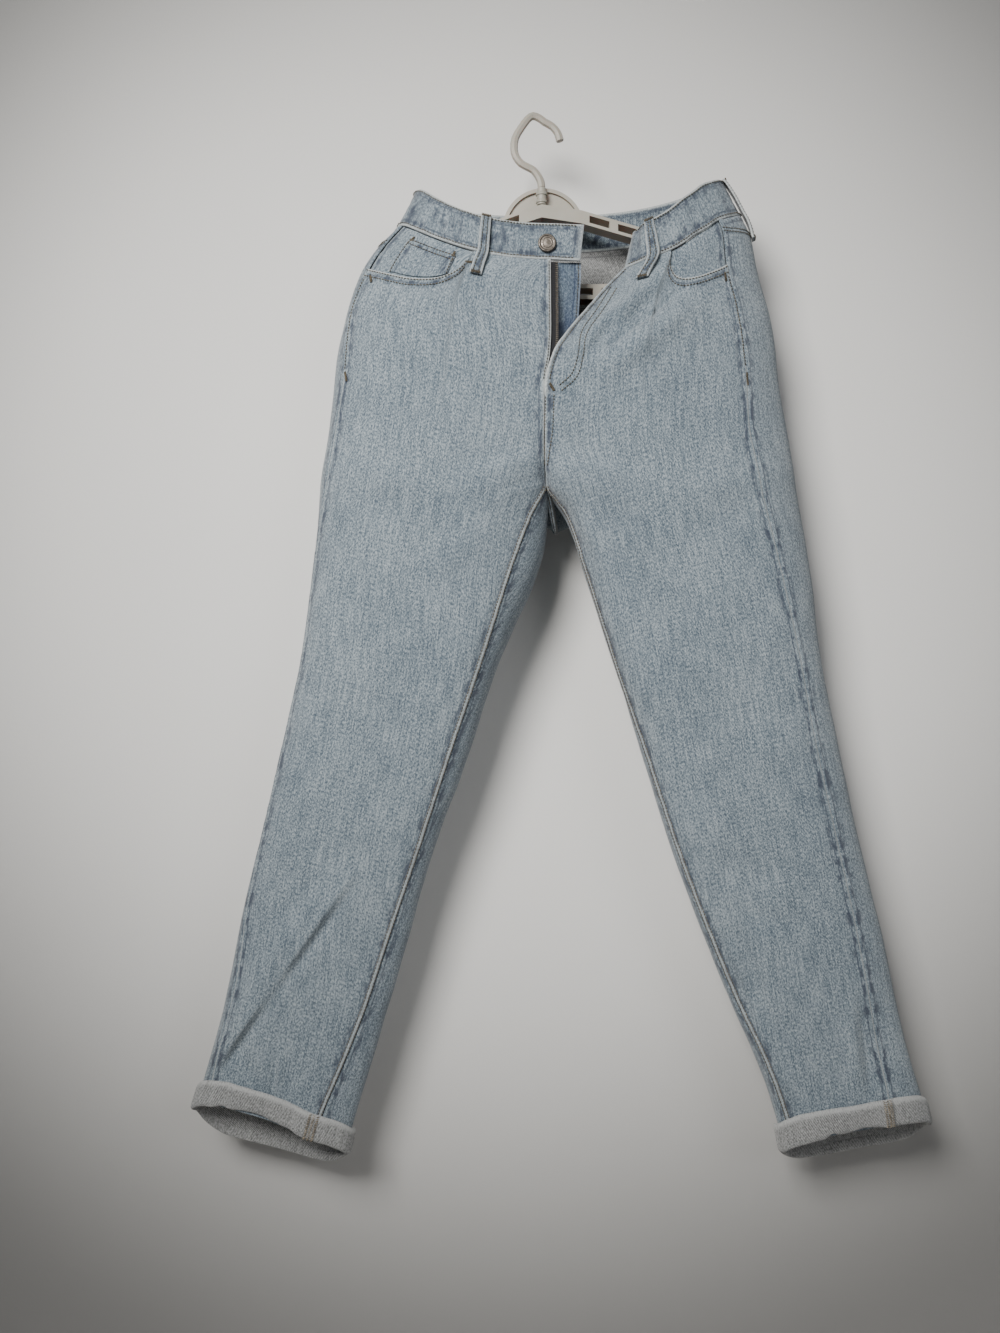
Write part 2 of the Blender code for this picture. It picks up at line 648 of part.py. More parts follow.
def build_belt_loops(right, left, pieces, collection):
    """Five loops across the waistband, each a strip that is sewn down at its two ends."""
    band, band_normals = pieces["waistband"]
    foot, top = band[-1], band[0]
    columns = foot_columns(right, left)
    steps = np.linalg.norm(np.diff(foot, axis=0), axis=1)
    along = np.concatenate([[0], np.cumsum(steps)])

    def on_line(line, where):
        return np.array([np.interp(where, along, line[:, i]) for i in range(3)])

    def on_panel(where, distance):
        k = int(np.clip(np.searchsorted(along, where) - 1, 2, len(foot) - 2))
        f = (where - along[k]) / (along[k + 1] - along[k])
        near, far = columns[k], columns[k + 1]
        half, back = far[0], far[1] if far[2] > 0 else near[1]
        t = (near[2] if near[1] == back or near[2] == 0 else 0.0) * (1 - f) + far[2] * f
        u = below_waist(half, back, t, distance)
        return half.at(u, t, back), half.normal(u, t, back)

    def path_place(x, back):
        """Distance along the foot of the place at x, on its back or front stretch."""
        spots = np.linspace(0, along[-1], 2000)
        points = [on_line(foot, spot) for spot in spots]
        return min((abs(p[0] - x), spot) for p, spot in zip(points, spots) if (p[1] > 0) == back)[1]

    for name, x, back in LOOP_PLACES:
        where = path_place(x, back)
        rows, normals = [], []
        for height, stand in LOOP_SECTION:
            row, row_normals = [], []
            for edge in (-0.5, 0.0, 0.5):
                place = where + edge * LOOP_WIDTH
                if height >= 0:
                    point = on_line(foot, place) * (1 - height) + on_line(top, place) * height
                    n = on_line(band_normals[-1], place) * (1 - height) + on_line(band_normals[0], place) * height
                else:
                    point, n = on_panel(place, -height * BAND_HEIGHT)
                n = n / np.linalg.norm(n)
                row.append(point + n * (BAND_PROUD + LOOP_LIE_ON + LOOP_THICK + stand * LOOP_STAND_OFF))
                row_normals.append(n)
            rows.append(row)
            normals.append(row_normals)
        grid, normals = np.array(rows), np.array(normals)
        verts, faces = wall_mesh(grid, grid - normals * LOOP_THICK)
        add_mesh(name, verts, faces, "denim", collection)


def build_fly(right, pieces, collection):
    """Shield and zip tape behind the right front's edge, and the tape behind the left front's edge."""
    shield_rows = ((0.03, 45.0, 1.5), (1, 45.0, 3.0), (2, 43.5, 8.0), (3, 42.0, 13.0), (4, 38.0, 14.0),
                   (4.6, 30.0, 12.0))
    hidden = 9.0
    grid = []
    for u, x_end, sink in shield_rows:
        edge = right.at(u, 1.0, False)
        row = []
        for share in np.linspace(0, 1, 6):
            x = edge[0] - hidden + (x_end - edge[0] + hidden) * share
            past = smooth_step((x - edge[0]) / SHIELD_BEND)
            row.append([x, edge[1] + DENIM + 0.7 + 1.3 + sink * past, edge[2] - 1.0])
        grid.append(row)
    grid = np.array(grid)
    normals = welded_normals([grid], [-1.0])[0]
    if normals[0, 0, 1] > 0:
        normals = -normals
    cloth("fly_shield", grid, normals, collection, look="shield_denim", thick=1.6, gap=0.0)

    tape_thick = 0.8
    rows = []
    for u in (0.05, 1, 2, 3, 4, 4.6):
        edge = right.at(u, 1.0, False)
        rows.append([[edge[0] + dx, edge[1] + DENIM + 0.5, edge[2] - 1.0] for dx in (-9.0, -3.0, 5.5)])
    grid = np.array(rows)
    normals = np.zeros_like(grid)
    normals[:, :, 1] = -1.0
    cloth("zip_tape_right", grid, normals, collection, look="zip_tape", thick=tape_thick, gap=0.0)

    panel, panel_normals = pieces["front_left"]
    rows, cols = slice(0, 4), slice(-3, None)
    cloth("zip_tape_left", panel[rows, cols], panel_normals[rows, cols], collection, look="zip_tape",
          out=-DENIM - LIE_ON, thick=tape_thick, gap=1.0)


def curve_object(name, bevel, collection, look):
    curve = bpy.data.curves.new(name, "CURVE")
    curve.dimensions = "3D"
    curve.bevel_depth = bevel * MM
    curve.bevel_resolution = 2
    curve.use_fill_caps = True
    return curve, add_object(name, curve, look, collection)


def smooth_line(points, per_span):
    """Points on a smooth curve through the given ones."""
    p = [Vector((x, z)) for x, z in points]
    p = [2 * p[0] - p[1]] + p + [2 * p[-1] - p[-2]]
    out = []
    for i in range(1, len(p) - 2):
        for s in range(per_span):
            f = s / per_span
            out.append(0.5 * (2 * p[i] + (p[i + 1] - p[i - 1]) * f
                              + (2 * p[i - 1] - 5 * p[i] + 4 * p[i + 1] - p[i + 2]) * f**2
                              + (3 * p[i] - p[i - 1] - 3 * p[i + 1] + p[i + 2]) * f**3))
    out.append(p[-2])
    return out


def build_hook(collection):
    curve, thing = curve_object("hanger_hook", HOOK_RADIUS, collection, "hanger_plastic")
    line = smooth_line(HOOK_PATH, 2)
    spline = curve.splines.new("POLY")
    spline.points.add(len(line) - 1)
    for place, point in zip(line, spline.points):
        point.co = (place.x * MM, 0, place.y * MM, 1)
    return thing


def flat_piece(name, outlines, front, back, collection):
    """A plate in the XZ plane, from its outline and the outlines of its holes."""
    curve = bpy.data.curves.new(name, "CURVE")
    curve.dimensions = "2D"
    curve.fill_mode = "BOTH"
    curve.extrude = (back - front) / 2 * MM
    for outline in outlines:
        spline = curve.splines.new("POLY")
        spline.points.add(len(outline) - 1)
        for (x, z), point in zip(outline, spline.points):
            point.co = (x * MM, z * MM, 0, 1)
        spline.use_cyclic_u = True
    thing = add_object(name, curve, "hanger_plastic", collection)
    thing.rotation_euler = (math.pi / 2, 0, 0)
    thing.location = (0, (front + back) / 2 * MM, 0)
    return thing


def arm_line(x, ends):
    """Height of the arms' top at x."""
    xs = [ends[0]] + [p[0] for p in ARM_TOP] + [ends[1]]
    zs = [ARM_END_TOP] + [p[1] for p in ARM_TOP] + [ARM_END_TOP]
    return float(np.interp(x, xs, zs))


def inner_side(half, z):
    """X that clears the cloth's inner face at the side's fold by a little, over the arms' whole depth."""
    heights = half.table["z_out"][::-1]
    fold = float(np.interp(z, heights, half.table["x_out"][::-1]))
    depth = float(np.interp(z, heights, half.table["depth"][::-1]))
    half_width = abs(fold - CENTRE_X)
    round_off = half_width * (1 - (1 - (ARM_BACK / depth) ** SQUARENESS) ** (1 / SQUARENESS))
    return fold - half.sign * (DENIM + ARM_CLEAR + round_off)


def build_hanger(right, left, collection):
    build_hook(collection)
    bpy.ops.mesh.primitive_cylinder_add(vertices=24, radius=STEM_RADIUS * MM, depth=(STEM_TOP - STEM_FOOT) * MM)
    stem = bpy.context.object
    stem.name = stem.data.name = "hanger_stem"
    stem.location = (STEM_X * MM, 0, (STEM_TOP + STEM_FOOT) / 2 * MM)
    for old in list(stem.users_collection):
        old.objects.unlink(stem)
    collection.objects.link(stem)
    stem.data.materials.append(material("hanger_plastic"))
    bevel = stem.modifiers.new("soft edges", "BEVEL")
    bevel.width = 0.8 * MM
    bevel.segments = 2
    bevel.limit_method = "ANGLE"

    ends = (inner_side(right, ARM_END_TOP), inner_side(left, ARM_END_TOP))
    arms = [(ends[0], ARM_END_TOP)] + list(ARM_TOP) + [(ends[1], ARM_END_TOP)]
    foot = [(ends[0], BAR_TOP + 2), (ends[0] + 8, BAR_FOOT), (ends[1] - 8, BAR_FOOT), (ends[1], BAR_TOP + 2)]
    outline = arms + foot[::-1]
    hole_ends = (ends[0] + 16, ends[1] - 16)
    hole = [(hole_ends[0], BAR_TOP), (hole_ends[1], BAR_TOP)]
    hole += [(hole_ends[1], arm_line(hole_ends[1], ends) - ARM_HEIGHT)]
    hole += [(x, z - ARM_HEIGHT) for x, z in reversed(ARM_TOP)]
    hole += [(hole_ends[0], arm_line(hole_ends[0], ends) - ARM_HEIGHT)]
    windows = []
    for first, count, step in ((56.0, 5, WINDOW_PITCH), (-34.0, 4, -WINDOW_PITCH)):
        for k in range(count):
            x0 = first + k * step
            x1 = x0 + WINDOW_LENGTH
            z0, z1 = arm_line(x0, ends), arm_line(x1, ends)
            top = (ARM_HEIGHT - WINDOW_HEIGHT) / 2
            windows.append([(x0, z0 - top), (x1, z1 - top), (x1, z1 - top - WINDOW_HEIGHT),
                            (x0, z0 - top - WINDOW_HEIGHT)])
    bar_mid = (BAR_TOP + BAR_FOOT) / 2
    for k in range(-5, 6):
        x0 = 39.5 + k * WINDOW_PITCH
        if x0 < ends[0] + 20 or x0 + WINDOW_LENGTH > ends[1] - 20:
            continue
        windows.append([(x0, bar_mid + WINDOW_HEIGHT / 2), (x0 + WINDOW_LENGTH, bar_mid + WINDOW_HEIGHT / 2),
                        (x0 + WINDOW_LENGTH, bar_mid - WINDOW_HEIGHT / 2), (x0, bar_mid - WINDOW_HEIGHT / 2)])
    flat_piece("hanger_frame", [outline, hole] + windows, ARM_FRONT, ARM_BACK, collection)

    def segment(radius, clear):
        """Round segment that stands on the arms."""
        angles = np.linspace(math.radians(2), math.radians(178), 33)
        arc = [(DISC_X + radius * math.cos(a), DISC_Z + radius * math.sin(a)) for a in angles]
        return [p for p in arc if p[1] > arm_line(p[0], ends) + clear]

    outer = segment(DISC_RADIUS, 0.4)
    inner = segment(DISC_RADIUS - DISC_RIM, 0.4)
    flat_piece("hanger_rim", [outer + inner[::-1]], DISC_FRONT, DISC_BACK, collection)
    plate_arc = segment(DISC_RADIUS - DISC_RIM - 0.3, 0.4)
    low_x = (plate_arc[-1][0], plate_arc[0][0])
    base = [(x, arm_line(x, ends) + 0.4) for x in (low_x[0] + 0.1, -10, 8.5, low_x[1] - 0.1)]
    flat_piece("hanger_disc", [plate_arc + base], DISC_BACK - DISC_PLATE, DISC_BACK, collection)


def build_button(pieces, collection):
    """Shank button: a domed cap with a raised rim on a short neck, on the waistband's button end."""
    band = pieces["waistband"][0]
    height = (BUTTON_Z - band[-1, 3, 2]) / BAND_HEIGHT
    front = band[-1, :, 1] < 0
    nearest = np.argmin(np.where(front, np.abs(band[-1, :, 0] - BUTTON_X), np.inf))
    band_y = band[-1, nearest, 1] * (1 - height) + band[0, nearest, 1] * height - BAND_PROUD
    profile = ((0.0, 0.0), (3.4, 0.0), (3.0, 1.6), (8.0, 1.9), (BUTTON_RADIUS, 2.7), (8.4, 3.7), (7.4, 4.0),
               (6.6, 3.4), (3.0, 3.9), (0.0, 4.0))
    mesh = bpy.data.meshes.new("button")
    points = [(r * MM, 0, h * MM) for r, h in profile]
    mesh.from_pydata(points, [(i, i + 1) for i in range(len(points) - 1)], [])
    thing = add_object("button", mesh, "pewter", collection)
    screw = thing.modifiers.new("turned", "SCREW")
    screw.steps = screw.render_steps = 24
    screw.use_merge_vertices = True
    screw.merge_threshold = 0.01 * MM
    screw.use_normal_flip = True
    thing.location = (BUTTON_X * MM, (band_y - 0.4) * MM, BUTTON_Z * MM)
    thing.rotation_euler = (math.pi / 2, 0, 0)


def main():
    for thing in list(bpy.data.objects):
        bpy.data.objects.remove(thing, do_unlink=True)
    collection = bpy.data.collections.new("boyfriend_jeans")
    bpy.context.scene.collection.children.link(collection)
    right = Half("right", RIGHT_ROWS)
    left = Half("left", LEFT_ROWS)
    pieces = build_panels(right, left, collection)
    for half in (right, left):
        build_facings(half, collection)
        build_back_pocket(half, collection)
        build_cuff(half, collection)
    build_coin_pocket(right, collection)
    build_belt_loops(right, left, pieces, collection)
    build_fly(right, pieces, collection)
    build_button(pieces, collection)
    build_hanger(right, left, collection)


main()
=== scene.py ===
import math
import random

import bpy
import numpy as np
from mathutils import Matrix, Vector, noise


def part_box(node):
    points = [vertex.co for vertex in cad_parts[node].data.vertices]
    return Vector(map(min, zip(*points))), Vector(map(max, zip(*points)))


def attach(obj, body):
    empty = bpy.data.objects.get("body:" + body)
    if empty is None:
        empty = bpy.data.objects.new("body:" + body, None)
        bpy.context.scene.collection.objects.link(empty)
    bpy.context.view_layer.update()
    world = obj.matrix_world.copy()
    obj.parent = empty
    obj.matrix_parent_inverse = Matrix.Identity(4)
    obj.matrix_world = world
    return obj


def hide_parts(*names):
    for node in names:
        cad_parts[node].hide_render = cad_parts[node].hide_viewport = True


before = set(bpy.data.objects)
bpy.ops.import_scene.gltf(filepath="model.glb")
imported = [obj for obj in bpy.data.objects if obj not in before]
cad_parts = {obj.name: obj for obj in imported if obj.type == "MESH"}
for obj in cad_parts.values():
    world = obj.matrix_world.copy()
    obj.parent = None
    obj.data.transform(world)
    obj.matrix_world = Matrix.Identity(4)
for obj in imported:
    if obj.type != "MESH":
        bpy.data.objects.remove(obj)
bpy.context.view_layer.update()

random.seed(7)
MM = 0.001

# Cloth and sewing, as in the solids
DENIM = 1.6
BAND_HEIGHT = 36.5
BAND_PROUD, BAND_THICK = 0.6, 3.0
BAND_LEAN_FRONT = 4.0
LEAN_FRONT = ((-136, -97, -69, 12, 90, 100, 117, 163, 208), (20, 9, 4, 0, 12, 2, -7, -14, -20))
LEAN_BACK = ((-136, -97, -69, 12, 117, 163, 208), (20, 9, 4, 0, -5, -11, -20))
SHIELD_END_X, SHIELD_BEND = 44.0, 15.0
LOOP_WIDTH, LOOP_THICK, LOOP_STAND_OFF, LOOP_LIE_ON = 10.5, 1.8, 2.6, 0.8
LOOP_PLACES = (
    ("belt_loop_front_right", -50.0, False),
    ("belt_loop_side_right", -124.0, True),
    ("belt_loop_back", 15.5, True),
    ("belt_loop_side_left", 207.3, False),
    ("belt_loop_front_left", 117.0, False),
)
LOOP_SECTION = ((1.0, 0.0), (0.9, 0.5), (0.55, 1.0), (0.2, 1.0), (-0.25, 0.8), (-0.55, 0.3), (-0.66, 0.3))
POCKET_DEPTH = 2.6
SQUARENESS = 2.4
CENTRE_X = 12.0
CROTCH_ROW, CUFF_ROW, HEM_ROW = 9.0, 18.0, 19.0
POCKET_JOIN_ROW = 6

# One row for each section: outer fold (z_out, x_out), outseam (x_seam), inner fold (z_in, x_in),
# front edge or inseam (xf, yf, zf), half depth, and how far the back hangs below the front (drop).
COLUMNS = ("name", "z_out", "x_out", "x_seam", "z_in", "x_in", "xf", "yf", "zf", "depth", "drop")
RIGHT_ROWS = (
    ("waist", -111, -136, -130, -155, 10, 15.8, -42.5, -155, 42, 0),
    ("yoke", -131, -155, -147, -172, 10, 15.8, -44.5, -172, 45, 0),
    ("pocket", -156, -172, -163, -198, 10, 15.8, -47.5, -198, 48, 0),
    ("hip", -200, -187, -180, -224, 10, 15.8, -50.5, -224, 52, 0),
    ("low hip", -232, -194, -184, -248, 10, 14.5, -52.0, -248, 54, 0),
    ("fly foot", -262, -198, -186, -278, 14, 9.8, -52.0, -278, 54, 0),
    ("seat", -310, -203, -194, -345, 18, 9.5, -49.0, -321, 53, 0),
    ("fork top", -335, -207, -198, -376, 14, 10.0, -43.0, -347, 51, 0),
    ("fork", -352, -210, -201, -398, 16, 10.8, -36.5, -360, 50, 0),
    ("crotch", -368, -212, -204, -412, 16, 12.0, -30.0, -371, 48, 0),
    ("top thigh", -410, -215, -211, -437, 13, -1.5, -34.0, -400, 45, 2),
    ("thigh", -460, -221, -218, -472, 2, -18.5, -34.0, -446, 43, 4),
    ("low thigh", -535, -231, -228, -550, -35, -48.5, -31.0, -540, 40, 6),
    ("above knee", -610, -247, -244, -630, -63, -78.5, -29.0, -630, 36, 8),
    ("knee", -710, -270, -267, -735, -101, -112.5, -24.0, -735, 32, 12),
    ("calf", -785, -288, -283, -815, -124, -139.0, -22.0, -815, 28, 15),
    ("shin", -860, -303, -293, -893, -147, -164.0, -20.0, -893, 25, 19),
    ("ankle", -912, -315, -305, -946, -163, -184.0, -19.0, -946, 23, 22),
    ("cuff top", -964, -330, -318, -1006, -181, -208.0, -18.0, -1006, 21, 25),
    ("hem", -990, -338, -325, -1031, -187, -215.0, -18.0, -1031, 21, 26),
)
LEFT_ROWS = (
    ("waist", -100, 208, 181, -155, 14, 89.7, -15.0, -154, 42, 0),
    ("yoke", -121, 217, 185, -172, 14, 72.0, -20.0, -172, 45, 0),
    ("pocket", -156, 224, 188, -198, 14, 51.6, -33.0, -198, 48, 0),
    ("hip", -200, 236, 198, -224, 14, 31.3, -43.0, -224, 52, 0),
    ("low hip", -232, 241, 203, -248, 14, 17.0, -53.0, -248, 54, 0),
    ("fly foot", -262, 244, 206, -278, 14, 9.8, -52.0, -278, 54, 0),
    ("seat", -310, 252, 208, -345, 20, 9.5, -49.0, -321, 53, 0),
    ("fork top", -335, 256, 213, -376, 28, 10.0, -43.0, -347, 51, 0),
    ("fork", -352, 259, 217, -398, 33, 10.8, -36.5, -360, 50, 0),
    ("crotch", -368, 261, 220, -412, 36, 12.0, -30.0, -371, 48, 0),
    ("top thigh", -410, 269, 230, -437, 39, 32.5, -24.0, -400, 45, 2),
    ("thigh", -460, 277, 242, -480, 55, 52.0, -20.0, -457, 43, 4),
    ("low thigh", -535, 286, 259, -555, 81, 80.5, -16.0, -545, 40, 6),
    ("above knee", -610, 301, 273, -632, 108, 110.0, -12.0, -632, 36, 8),
    ("knee", -710, 322, 295, -733, 140, 143.0, -12.0, -733, 32, 10),
    ("calf", -785, 341, 312, -808, 168, 171.0, -11.0, -808, 28, 12),
    ("shin", -860, 358, 327, -884, 199, 202.0, -10.0, -884, 25, 15),
    ("ankle", -920, 371, 338, -945, 226, 230.0, -10.0, -945, 23, 18),
    ("cuff top", -979, 388, 350, -1003, 245, 250.0, -10.0, -1003, 21, 20),
    ("hem", -1005, 394, 354, -1031, 251, 256.0, -10.0, -1031, 21, 21),
)

# Centre back seam and seat seam, shared by both halves, from the waist to the crotch point
SEAT_COLUMNS = ("x", "y", "z")
SEAT_SEAM = (
    (15, 41, -118), (15, 46, -176), (15, 49, -204), (15, 52, -240), (15, 53, -270),
    (15, 53, -300), (16, 49, -346), (19, 36, -388), (22, 10, -411), (12, -30, -371),
)

# Where the left front rolls inwards beside the open fly, one value a row from the waist
ROLL_X = (112, 126, 132, 103, 67, 22)

# How far the left waist line dips at the outseam, beside its raised corner, and over what length
CORNER_DIP, DIP_REACH = 9.0, 26.0

# Front pocket opening: share of the way from the outseam to the fly, and row at its lower edge
OPENING = ((0.0, 2.0), (0.12, 2.0), (0.26, 1.95), (0.38, 1.75), (0.46, 1.4), (0.51, 0.9), (0.53, 0.0))


# Large creases in the legs: side, ends, half width and height, as in the solids
CREASES = (
    ("right", -178, -742, -296, -885, 15, 5.0),
    ("right", -262, -850, -330, -958, 13, 6.0),
    ("left", 196, -800, 216, -905, 16, -4.0),
    ("left", 222, -905, 248, -985, 12, 4.0),
    ("left", 330, -870, 340, -965, 18, -3.5),
    ("left", 165, -742, 240, -760, 26, -3.0),
)

# Smaller folds that only the looks have: side, on the back, ends, half width and height
FOLDS = (
    ("left", False, 150, -176, 56, -250, 3.5, -6.0),
    ("left", False, 144, -170, 44, -250, 9, -6.5),
    ("left", False, 162, -190, 60, -270, 12, 5.0),
    ("left", False, 118, -170, 60, -226, 7, 3.5),
    ("left", False, 96, -196, 52, -262, 3.5, 1.6),
    ("left", False, 84, -196, 42, -262, 3, -1.5),
    ("left", False, 70, -204, 34, -262, 3, 1.2),
    ("right", False, -174, -744, -262, -868, 4, 2.4),
    ("right", False, -169, -752, -256, -876, 5, -2.6),
    ("right", False, -262, -866, -322, -952, 4, 3.2),
    ("right", False, -256, -874, -316, -958, 5, -3.4),
    ("right", False, -20, -320, -6, -372, 8, -1.8),
    ("left", False, 24, -330, 14, -368, 8, -1.4),
    ("left", False, 20, -372, 66, -470, 7, -1.3),
    ("left", False, 34, -372, 84, -480, 9, 1.3),
    ("right", False, -246, -915, -252, -995, 3.2, 2.4),
    ("right", False, -253, -925, -259, -990, 4, -2.4),
    ("right", False, -300, -905, -262, -975, 9, -1.8),
    ("right", False, -215, -640, -175, -560, 16, -1.4),
    ("right", False, -120, -470, -30, -400, 15, 1.6),
    ("right", False, -190, -360, -110, -410, 18, -1.3),
    ("right", False, -70, -215, -5, -250, 11, 1.2),
    ("left", False, 30, -400, 120, -440, 15, 1.5),
    ("left", False, 60, -215, 105, -300, 9, -1.6),
    ("left", False, 75, -190, 128, -290, 7, 1.8),
    ("left", False, 150, -420, 230, -380, 18, -1.5),
    ("left", False, 200, -640, 280, -600, 20, 1.4),
    ("left", False, 196, -815, 206, -860, 7, 2.0),
    ("left", False, 322, -865, 332, -975, 6, -2.4),
    ("left", False, 310, -865, 318, -975, 8, 2.0),
    ("left", False, 290, -880, 345, -985, 10, 1.2),
    ("left", False, 188, -800, 240, -940, 5, 2.4),
    ("left", False, 198, -800, 250, -940, 8, -2.2),
    ("left", False, 180, -780, 260, -800, 12, -1.8),
    ("left", False, 235, -960, 262, -1000, 8, -1.8),
    ("right", True, -60, -300, -140, -390, 16, 2.0),
    ("right", True, -190, -740, -280, -820, 15, 2.6),
    ("right", True, -160, -700, -240, -760, 14, -2.0),
    ("right", True, -250, -880, -300, -960, 12, 2.4),
    ("right", True, -60, -430, -150, -460, 14, -1.6),
    ("left", True, 90, -300, 170, -390, 16, 2.0),
    ("left", True, 200, -740, 300, -800, 15, 2.6),
    ("left", True, 190, -700, 270, -740, 14, -2.0),
    ("left", True, 270, -880, 330, -950, 12, 2.4),
    ("left", True, 90, -430, 190, -460, 14, -1.6),
)


# How far the front hangs above its outer folds, as a share of how far the back hangs below them
FRONT_RISE = 0.7


def column_arrays(rows, names):
    """A section table as one array for each named column."""
    return {name: np.array([row[i] for row in rows]) for i, name in enumerate(names) if name != "name"}


def smooth_at(values, u):
    """Value of a table column at row u, on a monotone cubic through its rows."""
    count = len(values)
    k = int(min(max(math.floor(u), 0), count - 2))
    f = u - k
    rise = np.diff(values)

    def slope(i):
        if i == 0 or i == count - 1:
            return rise[min(i, count - 2)]
        if rise[i - 1] * rise[i] <= 0:
            return 0.0
        return 2.0 * rise[i - 1] * rise[i] / (rise[i - 1] + rise[i])

    h00 = 2 * f**3 - 3 * f**2 + 1
    h10 = f**3 - 2 * f**2 + f
    return h00 * values[k] + h10 * slope(k) + (1 - h00) * values[k + 1] + (f**3 - f**2) * slope(k + 1)


def smooth_step(value):
    value = np.clip(value, 0.0, 1.0)
    return value * value * (3 - 2 * value)


def unit(vectors):
    return vectors / np.maximum(np.linalg.norm(vectors, axis=-1, keepdims=True), 1e-9)


def resample(points, count):
    """Points at equal steps along a dense line."""
    steps = np.linalg.norm(np.diff(points, axis=0), axis=1)
    along = np.concatenate([[0], np.cumsum(steps)])
    where = np.linspace(0, along[-1], count)
    return np.stack([np.interp(where, along, points[:, i]) for i in range(3)], axis=1)


def fold_height(points, x0, z0, x1, z1, width, height):
    """Height of one soft fold at the given points, by their x and z."""
    run = np.array([x1 - x0, z1 - z0], float)
    off = points[..., [0, 2]] - np.array([x0, z0])
    along = off @ run / np.dot(run, run)
    near = off - np.clip(along, 0, 1)[..., None] * run
    far = np.hypot(near[..., 0], near[..., 1]) / width
    return height * np.exp(-far * far) * smooth_step(1.25 - np.abs(2 * along - 1))


